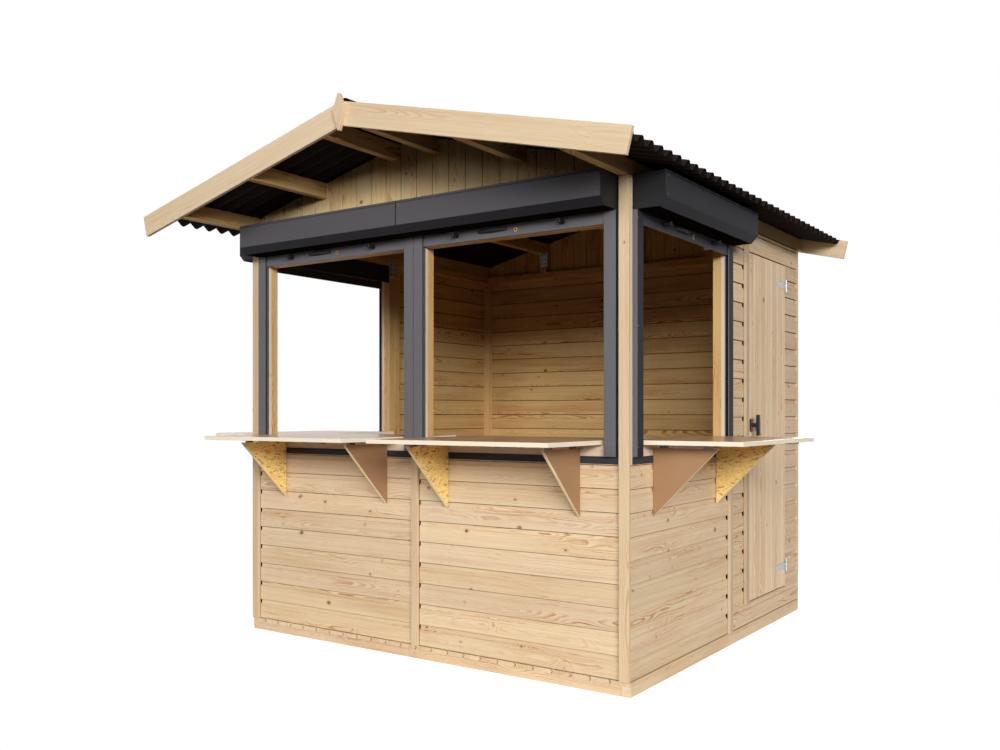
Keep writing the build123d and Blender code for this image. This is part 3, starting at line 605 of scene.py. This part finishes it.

# ---------------------------------------------------------------- trims and battens
# Straight boards lie on top of the siding over the corners and the joints between the wall
# panels. The hollows of the siding run on beneath them and show as notches, black with painted shade.

trim_pine = wood_material("trim pine", Knots=0.06, Flame=0.65, Pale=(0.72, 0.56, 0.375, 1),
                          Warm=(0.50, 0.25, 0.095, 1))
# the battens and casing on the side walls take a darker copy: painted shade, as less light reaches the
# sides
side_pine = wood_material("side trim pine", Knots=0.06, Flame=0.65, Pale=(0.62, 0.495, 0.340, 1),
                          Warm=(0.46, 0.23, 0.085, 1))
timbers("corner_boards", ["corner_trims"], seed=41, edge=0.002, material=trim_pine)
battens = timbers("cover_battens", ["joint_battens"], seed=43, edge=0.002, material=trim_pine)


def more_materials(piece, others, choose):
    """Gives a piece more materials, and each face the one whose number choose gives."""
    for material in others:
        piece.data.materials.append(material)
    for face in piece.data.polygons:
        face.material_index = int(choose(face))


# battens on the side walls take the darker copy of painted shade
more_materials(battens, [side_pine], lambda face: abs(face.center.x) > front_high.x)


def span(group):
    """The two corners of the box round some vertices."""
    return (Vector(min(v.co[k] for v in group) for k in range(3)),
            Vector(max(v.co[k] for v in group) for k in range(3)))


def slab(work, corner, opposite):
    """A box between any two opposite corners."""
    for v in bmesh.ops.create_cube(work, size=1.0)["verts"]:
        v.co = Vector((corner[k] + opposite[k]) / 2 + v.co[k] * abs(opposite[k] - corner[k])
                      for k in range(3))


def plain_material(name, colour, roughness, metallic=0.0):
    material = bpy.data.materials.new(name)
    material.use_nodes = True
    tree = material.node_tree
    surface = tree.nodes["Principled BSDF"]
    feed(tree, surface.inputs, {"Base Color": (*colour, 1), "Roughness": roughness, "Metallic": metallic})
    return material, tree, surface


# Black strips in the hollows behind each batten and trim are painted shade: they make the notches there
# dark.
FELT_DEPTH = COVE_DEPTH - 0.0002
FELT_PROUD = 0.0015       # past the long edges of the batten
FELT_SHORT = 0.004        # at both ends
felt = bmesh.new()
for node in ("corner_trims", "joint_battens", "door_casing"):
    work = merged(node)
    for group in islands(work):
        low, high = span(group)
        out = 0 if high.x - low.x < high.y - low.y else 1
        along = 1 - out
        if high[out] > 0:
            low[out], high[out] = low[out] - FELT_DEPTH, low[out]
        else:
            low[out], high[out] = high[out], high[out] + FELT_DEPTH
        low[along], high[along] = low[along] - FELT_PROUD, high[along] + FELT_PROUD
        if out == 1:          # the corner trims reach past the wall behind them
            low.x, high.x = max(low.x, -front_high.x), min(high.x, front_high.x)
        low.z, high.z = max(low.z, siding_foot) + FELT_SHORT, high.z - FELT_SHORT
        slab(felt, low, high)
    work.free()
black_felt, tree, surface = plain_material("black felt", (0.012, 0.010, 0.009), 0.95)
surface.inputs["Specular IOR Level"].default_value = 0.0
put("felt_behind_battens", mesh_of("batten_felt", felt), black_felt, "root", "bitumen")

# ---------------------------------------------------------------- gables
# Upright tongued boards close both gables. Their pine is painted brighter and yellower than the
# walls': painted light, for the warm light on the gables under the roof. Each one is sawn to the
# slope of the roof at its top.

gable_pine = wood_material("gable pine", Pale=(0.90, 0.70, 0.39, 1), Warm=(0.58, 0.25, 0.065, 1))
gable_low, gable_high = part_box("gables")
GABLE_STEP = 0.102
GABLE_THICK = 0.020


def tongued_section(step, thick, gap, v_edge):
    """A tongued board with small bevels on its face, a little narrower than its step."""
    edge, low, high = step - gap, thick * 0.30, thick * 0.65
    return [(gap, 0.0), (edge, 0.0), (edge, low), (edge + 0.005, low + 0.0004),
            (edge + 0.005, high - 0.0004), (edge, high), (edge, thick - v_edge), (edge - v_edge, thick),
            (gap + v_edge, thick), (gap, thick - v_edge), (gap, high + 0.0006),
            (gap + 0.0058, high + 0.0002), (gap + 0.0058, low - 0.0006), (gap, low - 0.0010)]


# the board's length turns upright: X becomes Z, the section's "up" becomes X
stand_up = Matrix(((0, 0, 1, 0), (0, 1, 0, 0), (1, 0, 0, 0), (0, 0, 0, 1)))


def upright_board(length, step, thick, gap=0.0008, v_edge=0.0026):
    section = [(up, out - thick) for up, out in tongued_section(step, thick, gap, v_edge)]
    # the long edges, in the gaps between boards, take painted shade
    board = extruded_board("upright_board", section, length,
                           lambda up, out: up > step - gap - 0.0002 or up < gap + 0.0002)
    board.data.transform(stand_up)
    board.data.flip_normals()
    return board


ROOF_PITCH = 13.75        # degrees
GABLE_BOARD = 0.45        # longer than any of them, before they are cut
gable_edge = gable_high.x
gable_count = math.ceil(2 * gable_edge / GABLE_STEP / 2) * 2
gable_rows = board_row(upright_board(GABLE_BOARD, GABLE_STEP, GABLE_THICK, 0.0015), gable_count,
                       (-gable_count / 2 * GABLE_STEP, 0, gable_low.z), (GABLE_STEP, 0, 0),
                       (-gable_edge, -FAR, gable_low.z), (gable_edge, FAR, gable_high.z),
                       slope=math.tan(math.radians(ROOF_PITCH)), seed=51)
front_gable = gable_rows.copy()
front_gable.transform(Matrix.Translation((0, gable_low.y, 0)))
rear_gable = gable_rows
rear_gable.transform(Matrix.Translation((0, gable_high.y, 0)) @ Matrix.Rotation(math.pi, 4, "Z"))
joined("gable_boards", [front_gable, rear_gable], gable_pine, "root", "pine", "gables")

# ---------------------------------------------------------------- roof
# Six purlins run from end to end. Corrugated bitumen sheets lie on them, with a folded cap
# over the ridge. Barge boards and a diamond-shaped board finish both ends.

clear_pine = wood_material("clear pine", Knots=0.12, Flame=0.50)
timbers("purlins_timber", ["purlins"], seed=61, material=room_pine)
timbers("barge_boards_timber", ["barge_boards"], seed=67, edge=0.002, material=clear_pine)
timbers("diamond_boards", ["finials"], seed=71)


def speckle_group():
    """A slightly uneven surface: cloudy changes of tone over a fine grit."""
    tree, given, result = new_group("uneven surface", [
        ("Position", VECTOR, None), ("Colour", COLOUR, (0.5, 0.5, 0.5, 1)), ("Cloud", NUMBER, 3.0),
        ("Grit", NUMBER, 400.0), ("Change", NUMBER, 0.15), ("Roughness", NUMBER, 0.5)],
        [("Color", COLOUR), ("Roughness", NUMBER), ("Height", NUMBER)])
    cloud = noise(tree, given["Position"], given["Cloud"], 4.0)
    grit = noise(tree, given["Position"], given["Grit"], 2.0)
    strength = Flow(tree, given["Change"])
    change = (cloud - 0.5) * strength + (grit - 0.5) * (strength * 0.6)
    level = change * 2.0 + 1.0
    tint = shade(tree, "ShaderNodeCombineColor", {0: level, 1: level, 2: level}).outputs[0]
    feed(tree, result, {"Color": blend_colours(tree, 1.0, given["Colour"], tint, "MULTIPLY"),
                        "Roughness": Flow(tree, given["Roughness"]) + change, "Height": grit})
    return tree


uneven_group = speckle_group()


def uneven_material(name, colour, roughness, cloud=3.0, grit=400.0, change=0.15, relief=0.1,
                    metallic=0.0, specular=0.5):
    material, tree, surface = plain_material(name, colour, roughness, metallic)
    spread = shade(tree, "ShaderNodeGroup", {
        "Position": shade(tree, "ShaderNodeTexCoord").outputs["Object"], "Colour": (*colour, 1),
        "Cloud": cloud, "Grit": grit, "Change": change, "Roughness": roughness},
        node_tree=uneven_group).outputs
    bump = shade(tree, "ShaderNodeBump", {"Height": spread["Height"], "Strength": relief,
                                          "Distance": 0.0005})
    feed(tree, surface.inputs, {"Base Color": spread["Color"], "Roughness": spread["Roughness"],
                                "Normal": bump.outputs["Normal"], "Specular IOR Level": specular})
    return material


bitumen = uneven_material("bitumen sheet", (0.017, 0.011, 0.0095), 0.72, cloud=6.0, grit=900.0,
                          change=0.35, relief=0.5, specular=0.05)
for sheet in ("roof_sheet_left", "roof_sheet_right", "ridge_cap"):
    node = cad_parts[sheet]
    node.data.materials.clear()
    node.data.materials.append(bitumen)

# ---------------------------------------------------------------- roller shutters
# Powder-coated housings hang over each window, with guide rails beside it and a sill below.
# The curtains are rolled up: only their end slats show.


def powder_coat(name, colour, roughness, specular):
    """Coated sheet metal in the shutters' anthracite, or in a darker copy of it that is painted shade."""
    return uneven_material(name, colour, roughness, cloud=2.0, grit=1500.0, change=0.05, relief=0.12,
                           specular=specular)


# the first coat is the anthracite as lit; the next four are darker copies with painted shade: the box
# fronts under the roof, the rest of each box, the rails' sides, and the sills and slat sides
anthracite = powder_coat("anthracite powder coat", (0.127, 0.124, 0.136), 0.42, 0.25)
fascia = powder_coat("anthracite fascia", (0.096, 0.093, 0.102), 0.48, 0.08)
housing = powder_coat("anthracite housing", (0.029, 0.0285, 0.034), 0.48, 0.03)
rail_side = powder_coat("anthracite rail side", (0.026, 0.026, 0.034), 0.42, 0.04)
sill_coat = powder_coat("anthracite sill", (0.044, 0.045, 0.054), 0.42, 0.08)
black_plastic = uneven_material("black plastic", (0.014, 0.014, 0.015), 0.5, grit=1200.0, change=0.05,
                                specular=0.2)


def shaped(name, node, material, slot, edge, body="root"):
    """A CAD node's shape with its sharp edges turned over a little."""
    work = merged(node)
    turn_edges(work, edge)
    return put(name, mesh_of(name, work), material, body, slot, node)


STRAIGHT = 0.95           # a face looks straight along an axis from this share on


def box_tone(normal, lengthways):
    """The number of a box face's material: underside, end cap, front sheet or housing. The underside
    is black painted shade, and the housing is painted darker shade than the front sheet.
    """
    if normal.z < -STRAIGHT:
        return 3
    if abs(normal[lengthways]) > STRAIGHT:
        return 1
    return 2 if normal.y < -STRAIGHT else 0


BOXES = ("shutter_box_front_left", "shutter_box_front_right", "shutter_box_left", "shutter_box_right")
for box in BOXES:
    piece = shaped(box + "_housing", box, housing, "anthracite", 0.0025)
    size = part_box(box)[1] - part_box(box)[0]
    lengthways = 0 if size.x > size.y else 1
    more_materials(piece, [black_plastic, fascia, black_felt],
                   lambda face: box_tone(face.normal, lengthways))
rails = shaped("guide_rail_profiles", "guide_rails", anthracite, "anthracite", 0.001)
# the rails' side faces get a darker painted shade
more_materials(rails, [rail_side], lambda face: abs(face.normal.x) > 0.5)
shaped("sill_profiles", "window_sills", sill_coat, "anthracite", 0.0008)
slats = shaped("end_slat_profiles", "shutter_end_slats", anthracite, "anthracite", 0.0012)
# the slats' side faces get the sills' painted shade
more_materials(slats, [sill_coat], lambda face: abs(face.normal.x) > 0.5)

rubber = uneven_material("black rubber", (0.020, 0.020, 0.021), 0.75, grit=600.0, change=0.1,
                         specular=0.08)
shaped("shutter_bump_stops", "shutter_stops", rubber, "black_rubber", 0.001)
shaped("shutter_pull_lips", "shutter_pulls", black_plastic, "black_plastic", 0.002)
brass = uneven_material("brass", (0.46, 0.26, 0.11), 0.38, grit=900.0, change=0.08, metallic=1.0)
shaped("shutter_lock_rings", "shutter_locks", brass, "brass", 0.001)

# ---------------------------------------------------------------- counters
# Film-faced boards with pale cut edges stand level outside each window, on brackets of strand
# board that are faced with brown film on their outer side.


def film_material():
    """Brown film on the two faces, pale layered wood along the cut edges."""
    material, tree, surface = plain_material("film faced board", (0.36, 0.21, 0.125), 0.35)
    place = shade(tree, "ShaderNodeTexCoord").outputs
    flat = ease(tree, sums(tree, "ABSOLUTE", split(tree, place["Normal"], "XYZ")[2]), 0.75, 0.85)
    layer = 0.0028        # two plies
    ply = sums(tree, "SINE", split(tree, place["Object"], "XYZ")[2] * (2 * math.pi / layer))
    edge = blend_colours(tree, ease(tree, ply, -0.6, 0.6), (0.98, 0.90, 0.75, 1), (0.94, 0.80, 0.58, 1))
    cloud = ease(tree, noise(tree, place["Object"], 5.0, 4.0), 0.3, 0.7)
    # the counters' film is painted far lighter than the same brown film on the brackets: its own brown
    # plus painted sheen for the counter tops
    film = blend_colours(tree, cloud, (0.67, 0.395, 0.23, 1), (0.79, 0.485, 0.29, 1))
    feed(tree, surface.inputs, {"Base Color": blend_colours(tree, flat, edge, film),
                                "Roughness": ease(tree, flat, 0.0, 1.0, 0.6, 0.26)})
    return material


film_board = film_material()
for name in ("counter_front_left", "counter_front_right", "counter_left", "counter_right"):
    shaped(name + "_board", name, film_board, "film_ply", 0.0012)


def strand_material():
    """Strand board: flakes of golden wood pressed flat, in patches that lie every way."""
    material, tree, surface = plain_material("strand board", (0.72, 0.43, 0.14), 0.6)
    place = shade(tree, "ShaderNodeTexCoord").outputs
    patch = shade(tree, "ShaderNodeTexVoronoi", {"Vector": place["Object"], "Scale": 24.0})
    turn = (split(tree, patch.outputs["Color"])[0] - 0.5) * 1.7
    turned = shade(tree, "ShaderNodeVectorRotate", {"Vector": place["Object"], "Axis": (1, 1, 0),
                   "Angle": turn}, rotation_type="AXIS_ANGLE").outputs[0]
    long = vectors(tree, "MULTIPLY", turned, (36.0, 36.0, 185.0))[0]
    flake = shade(tree, "ShaderNodeTexVoronoi", {"Vector": long, "Scale": 1.0})
    tone = split(tree, flake.outputs["Color"])
    rim = shade(tree, "ShaderNodeTexVoronoi", {"Vector": long, "Scale": 1.0},
                feature="DISTANCE_TO_EDGE").outputs["Distance"]
    edge = ease(tree, rim, 0.085, 0.015) * sums(tree, "GREATER_THAN", tone[2], 0.45)
    wood = blend_colours(tree, tone[0], (1.0, 0.77, 0.30, 1), (1.0, 0.68, 0.225, 1))
    for share, colour in ((sums(tree, "LESS_THAN", tone[1], 0.16) * 0.8, (0.99, 0.77, 0.36, 1)),
                          (sums(tree, "GREATER_THAN", tone[1], 0.91) * 0.70, (0.34, 0.155, 0.045, 1)),
                          (edge * 0.75, (0.34, 0.135, 0.030, 1))):
        wood = blend_colours(tree, share, wood, colour)
    # the cut edges are paler than the two faces
    facing = split(tree, place["Normal"], "XYZ")
    upright = sums(tree, "MAXIMUM", sums(tree, "ABSOLUTE", facing[0]), sums(tree, "ABSOLUTE", facing[1]))
    cut = blend_colours(tree, 0.7, wood, (0.98, 0.84, 0.58, 1))
    bump = shade(tree, "ShaderNodeBump", {"Height": tone[2], "Strength": 0.3, "Distance": 0.0006})
    feed(tree, surface.inputs, {
        "Base Color": blend_colours(tree, ease(tree, upright, 0.85, 0.95), cut, wood),
        "Specular IOR Level": 0.05, "Normal": bump.outputs["Normal"]})
    return material


strand_board = strand_material()
shaped("bracket_boards", "counter_brackets", strand_board, "osb", 0.0008)
FILM = 0.0006
FILM_SUNK = 0.0004        # the film reaches into the board, so that no gap shows
FILM_SHARE = 0.996        # the film ends just inside the board's edges
film_sheets = bmesh.new()
work = merged("counter_brackets")
for group in islands(work):
    centre = sum((v.co for v in group), Vector()) / len(group)
    faces = {f for v in group for f in v.link_faces if len(f.verts) == 3}
    across = 0 if abs(next(iter(faces)).normal.x) > 0.9 else 1
    side = "right" if centre.x > 0 else "left"
    low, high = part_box("counter_front_" + side if across == 0 else "counter_" + side)
    outward = math.copysign(1, centre[across] - (low[across] + high[across]) / 2)
    face = next(f for f in faces if f.normal[across] * outward > 0.9)
    middle = face.calc_center_median()
    inset = [middle + (v.co - middle) * FILM_SHARE for v in face.verts]
    inside = [film_sheets.verts.new(c - face.normal * FILM_SUNK) for c in inset]
    outside = [film_sheets.verts.new(c + face.normal * FILM) for c in inset]
    film_sheets.faces.new(outside)
    film_sheets.faces.new(inside[::-1])
    for k in range(3):
        n = (k + 1) % 3
        film_sheets.faces.new((inside[k], inside[n], outside[n], outside[k]))
work.free()
bmesh.ops.recalc_face_normals(film_sheets, faces=film_sheets.faces)
film = uneven_material("brown film", (0.38, 0.218, 0.115), 0.42, cloud=9.0, grit=500.0, change=0.07,
                       specular=0.3)
put("bracket_films", mesh_of("bracket_films", film_sheets), film, "root", "film_ply")
zinc = uneven_material("galvanized steel", (0.46, 0.47, 0.49), 0.50, cloud=25.0, grit=700.0, change=0.12,
                       metallic=1.0)
dull_steel = uneven_material("dull steel", (0.13, 0.13, 0.135), 0.5, cloud=25.0, grit=700.0, change=0.15,
                             metallic=1.0)
shaped("counter_fittings_steel", "counter_fittings", dull_steel, "galvanized", 0.0006)

# ---------------------------------------------------------------- door
# Upright tongued boards on two ledges hang in the right wall on strap hinges. Stops and a
# threshold close the doorway behind the leaf, and a casing board frames it outside.

door_pine = wood_material("door pine", Pale=(0.90, 0.72, 0.515, 1), Warm=(0.60, 0.29, 0.115, 1))
timbers("door_stops_timber", ["door_stops", "door_threshold_and_head"], seed=81, material=clear_pine)
timbers("door_casing_board", ["door_casing"], seed=83, material=side_pine)
leaf_thick = 0.019
leaf_step = 0.096
leaf_width = door_high.y - door_low.y
leaf_rows = board_row(upright_board(door_high.z - door_low.z, leaf_step, leaf_thick, 0.0006, 0.0018),
                      math.ceil(leaf_width / leaf_step), (0, 0, door_low.z), (leaf_step, 0, 0),
                      (0, -FAR, -FAR), (leaf_width, FAR, FAR), seed=85)
leaf_mesh = on_wall(leaf_rows, "right", door_low.y, right_face)
# the painted shade of the room side is left off the door leaf
for side in leaf_mesh.attributes["room"].data:       # the door is one tone on both sides
    side.value = 0.0
leaf = merged("door_leaf")
bmesh.ops.delete(leaf, geom=[v for v in leaf.verts if v.co.x > door_low.x + 0.001], context="VERTS")
ledges = bmesh.new()
for group in islands(leaf):
    low, high = span(group)
    slab(ledges, low, (right_face - leaf_thick - 0.0002, high.y, high.z))
leaf.free()
tag, frames = number_timbers(ledges)
ledge_mesh = bpy.data.meshes.new("ledges")
write_grain(ledges, ledge_mesh, frames, tag, 86)
ledges.free()
joined("door_boards", [leaf_mesh, ledge_mesh], door_pine, "door", "pine", "door_leaf")
shaped("hinge_straps_steel", "door_hinge_straps", zinc, "galvanized", 0.0005, body="door")
shaped("hinge_plates_steel", "door_hinge_plates", zinc, "galvanized", 0.0005)
dark_metal = uneven_material("dark lacquered metal", (0.028, 0.022, 0.021), 0.42, change=0.06,
                             specular=0.3)
shaped("door_handle_dark", "door_handle", dark_metal, "dark_handle", 0.002, body="door")

# ---------------------------------------------------------------- fixings
# Perforated plates tie the frame together inside, their holes drawn in black painted shade. Screws
# hold the guide rails, the shutter locks have a keyhole of black painted shade, and a paler rim,
# a painted highlight, ends each bump stop round a mouth of black painted shade.


# radius and height of each round head or mark
KEYHOLE, STOP_RIM, STOP_MOUTH = (0.0055, 0.0006), (0.0102, 0.0006), (0.0072, 0.0009)
RIVET, SCREW, PLATE_HOLE = (0.0032, 0.0016), (0.0042, 0.0022), (0.0055, 0.0006)
SUNK = 0.0002             # how far each one reaches into its face


def stud(work, place, facing, radius, height):
    """A low round head standing on a face."""
    turn = Vector(facing).to_track_quat("Z", "Y").to_matrix().to_4x4()
    middle = Vector(place) + Vector(facing) * (height / 2 - SUNK)
    bmesh.ops.create_cone(work, cap_ends=True, segments=20, radius1=radius, radius2=radius * 0.86,
                          depth=height, matrix=Matrix.Translation(middle) @ turn)


def small_parts(name, work, material, slot):
    put(name, mesh_of(name, work), material, "root", slot)


def facing_out(low, high):
    """Which way a fitting on the outside of the front or of a side wall looks."""
    middle = (low + high) / 2
    return (0, -1, 0) if middle.y < front_low.y else (math.copysign(1, middle.x), 0, 0)


keyholes, rims, mouths = bmesh.new(), bmesh.new(), bmesh.new()
for node in ("shutter_locks", "shutter_stops"):
    work = merged(node)
    for group in islands(work):
        low, high = span(group)
        facing = Vector(facing_out(low, high))
        face = (low + high) / 2 + Vector(facing[k] * (high[k] - low[k]) / 2 for k in range(3))
        if node == "shutter_locks":
            stud(keyholes, face, facing, *KEYHOLE)
        else:
            stud(rims, face, facing, *STOP_RIM)
            stud(mouths, face, facing, *STOP_MOUTH)
    work.free()
# black discs of painted shade stand for the keyholes and the mouths of the stops, and the stops' paler
# rims are a painted highlight
small_parts("lock_keyholes", keyholes, black_felt, "black_plastic")
small_parts("bump_stop_mouths", mouths, black_felt, "black_plastic")
pale_rubber = uneven_material("worn rubber", (0.07, 0.07, 0.074), 0.6, specular=0.08)
small_parts("bump_stop_rims", rims, pale_rubber, "black_rubber")

# each box's lid closes in a fine seam under its top edge, held by rivets near the ends; the
# seam is a black strip of painted shade
LID_EDGE = 0.011          # from the top of a box down to the seam
SEAM = 0.0024
SEAM_SHORT = 0.003        # at both ends
RIVET_IN = 0.022          # from the ends of a box
seams, rivets = bmesh.new(), bmesh.new()
for box in BOXES:
    low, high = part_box(box)
    seam = high.z - LID_EDGE
    rivet_heights = (seam - 0.012, low.z + 0.052)
    if high.x - low.x > high.y - low.y:
        slab(seams, (low.x + SEAM_SHORT, low.y - 0.0003, seam - SEAM),
             (high.x - SEAM_SHORT, low.y + 0.001, seam))
        for x in (low.x + RIVET_IN, high.x - RIVET_IN):
            for z in rivet_heights:
                stud(rivets, (x, low.y, z), (0, -1, 0), *RIVET)
    else:
        side = math.copysign(1, low.x)
        face = high.x if side > 0 else low.x
        slab(seams, (face - 0.0005, low.y + SEAM_SHORT, seam - SEAM),
             (face + 0.0005, high.y - SEAM_SHORT, seam))
        for y in (low.y + RIVET_IN, high.y - RIVET_IN):
            for z in rivet_heights:
                stud(rivets, (face, y, z), (side, 0, 0), *RIVET)
small_parts("box_lid_seams", seams, black_felt, "black_plastic")
small_parts("box_rivets", rivets, anthracite, "anthracite")

rail_low, rail_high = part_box("guide_rails")
SCREW_HEIGHTS = (1.084, 1.611, 2.081)
FRONT_SCREWS = (-1.131, -0.053, 0.053, 1.131)   # along the front, near the outer edge of each rail
SIDE_SCREWS = (-1.115, -0.009)                  # along both sides
screws = bmesh.new()
for z in SCREW_HEIGHTS:
    for x in FRONT_SCREWS:
        stud(screws, (x, rail_low.y, z), (0, -1, 0), *SCREW)
    for y in SIDE_SCREWS:
        for side in (-1, 1):
            stud(screws, (side * rail_high.x, y, z), (side, 0, 0), *SCREW)
small_parts("rail_screws", screws, dull_steel, "galvanized")

FRAME_DEPTH = 0.045
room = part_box("wall_posts")[1] - Vector((FRAME_DEPTH, FRAME_DEPTH, 0))    # room side of the frame
PLATE_WIDTH, PLATE_THICK = 0.065, 0.002
HOLE_STEP = 0.032
plates, holes = bmesh.new(), bmesh.new()


def joint_plate(middle, facing, height):
    """A steel plate on the frame, with three rows of two holes, drawn as black discs of painted shade."""
    middle, facing = Vector(middle), Vector(facing)
    across = Vector((abs(facing.y), abs(facing.x), 0))
    half = across * PLATE_WIDTH / 2 + Vector((0, 0, height / 2))
    face = middle + facing * PLATE_THICK
    slab(plates, middle - half, face + half)
    for row in (-1, 0, 1):
        for column in (-1, 1):
            place = face + across * column * HOLE_STEP / 2 + Vector((0, 0, row * HOLE_STEP))
            stud(holes, place, facing, *PLATE_HOLE)


for side in (-1, 1):
    joint_plate((side * 0.6385, room.y, 2.355), (0, -1, 0), 0.104)
    joint_plate((side * room.x, -0.0225, 2.185), (-side, 0, 0), 0.100)
small_parts("joint_plates", plates, zinc, "galvanized")

# black inspection covers close the side shutters' boxes from the room
COVER_THICK = 0.003
COVER_ENDS = (-1.060, -0.064)
COVER_HEIGHTS = (2.095, 2.207)
covers = bmesh.new()
for side in (-1, 1):
    slab(covers, (side * room.x, COVER_ENDS[0], COVER_HEIGHTS[0]),
         (side * (room.x - COVER_THICK), COVER_ENDS[1], COVER_HEIGHTS[1]))
small_parts("inspection_covers", covers, black_plastic, "black_plastic")
# the plates' holes are black discs of painted shade
small_parts("plate_holes", holes, black_felt, "black_plastic")

# ---------------------------------------------------------------- setting
# A pale floor that fades into a white surround, three soft lamps at the right front, the front
# and the rear, and a camera at eye height in front of the right-hand corner.

GROUND = 20.0             # half its width
ground_mesh = bpy.data.meshes.new("ground")
ground_mesh.from_pydata([(-GROUND, -GROUND, 0), (GROUND, -GROUND, 0), (GROUND, GROUND, 0),
                         (-GROUND, GROUND, 0)], [], [(0, 1, 2, 3)])
ground = bpy.data.objects.new("ground", ground_mesh)
scene.collection.objects.link(ground)
ground.location.z = -0.001
white, tree, surface = plain_material("pale ground", (0.80, 0.80, 0.80), 0.9)
surface.inputs["Specular IOR Level"].default_value = 0.0


def seen_directly(tree):
    """1 on rays from the camera, from a reflection or through glass, and 0 on all others."""
    ray = shade(tree, "ShaderNodeLightPath").outputs
    bent = sums(tree, "MAXIMUM", ray["Is Glossy Ray"], ray["Is Transmission Ray"])
    return sums(tree, "MAXIMUM", ray["Is Camera Ray"], bent)


distance = vectors(tree, "LENGTH", shade(tree, "ShaderNodeTexCoord").outputs["Object"])["Value"]
away = ease(tree, distance, 1.9, 3.6)
clear = shade(tree, "ShaderNodeBsdfTransparent")
glow = shade(tree, "ShaderNodeEmission", {"Color": (1, 1, 1, 1), "Strength": 0.76})
bright = shade(tree, "ShaderNodeAddShader", {0: surface.outputs[0], 1: glow.outputs[0]})
near = shade(tree, "ShaderNodeMixShader", {0: seen_directly(tree), 1: surface.outputs[0],
                                           2: bright.outputs[0]})
fade = shade(tree, "ShaderNodeMixShader", {0: away, 1: near.outputs[0], 2: clear.outputs[0]})
tree.links.new(fade.outputs[0], tree.nodes["Material Output"].inputs["Surface"])
ground_mesh.materials.append(white)

world = bpy.data.worlds.new("studio")
scene.world = world
world.use_nodes = True
tree = world.node_tree
background = tree.nodes["Background"]
background.inputs["Color"].default_value = (1.0, 0.80, 0.56, 1)
background.inputs["Strength"].default_value = 0.018
seen = shade(tree, "ShaderNodeBackground", {"Color": (1, 1, 1, 1), "Strength": 1.0})
choose = shade(tree, "ShaderNodeMixShader", {0: seen_directly(tree), 1: background.outputs[0],
                                             2: seen.outputs[0]})
tree.links.new(choose.outputs[0], tree.nodes["World Output"].inputs["Surface"])


def lamp(name, place, target, width, height, power):
    data = bpy.data.lights.new(name, "AREA")
    data.shape = "RECTANGLE"
    data.size = width
    data.size_y = height
    data.energy = power
    data.color = (1.0, 0.99, 0.97)
    made = bpy.data.objects.new(name, data)
    scene.collection.objects.link(made)
    made.location = place
    made.rotation_euler = (Vector(target) - Vector(place)).to_track_quat("-Z", "Y").to_euler()


lamp("key", (11.6, -13.4, 5.5), (0, 0, 1.6), 13.0, 4.2, 3330)
lamp("front", (-3.0, -17.5, 5.5), (0, 0, 1.6), 8.0, 4.2, 450)
lamp("rear", (-4.0, 13.0, 5.5), (0, 0, 1.4), 7.0, 3.0, 1200)

camera_data = bpy.data.cameras.new("camera")
camera_data.lens = 34.67
camera_data.sensor_width = 36.0
camera_data.shift_y = 0.0384
camera = bpy.data.objects.new("camera", camera_data)
scene.collection.objects.link(camera)
camera.location = (3.1014, -4.889, 1.2305)
camera.rotation_euler = (math.radians(90), 0, math.radians(34.67))
scene.camera = camera
scene.view_settings.view_transform = "Standard"
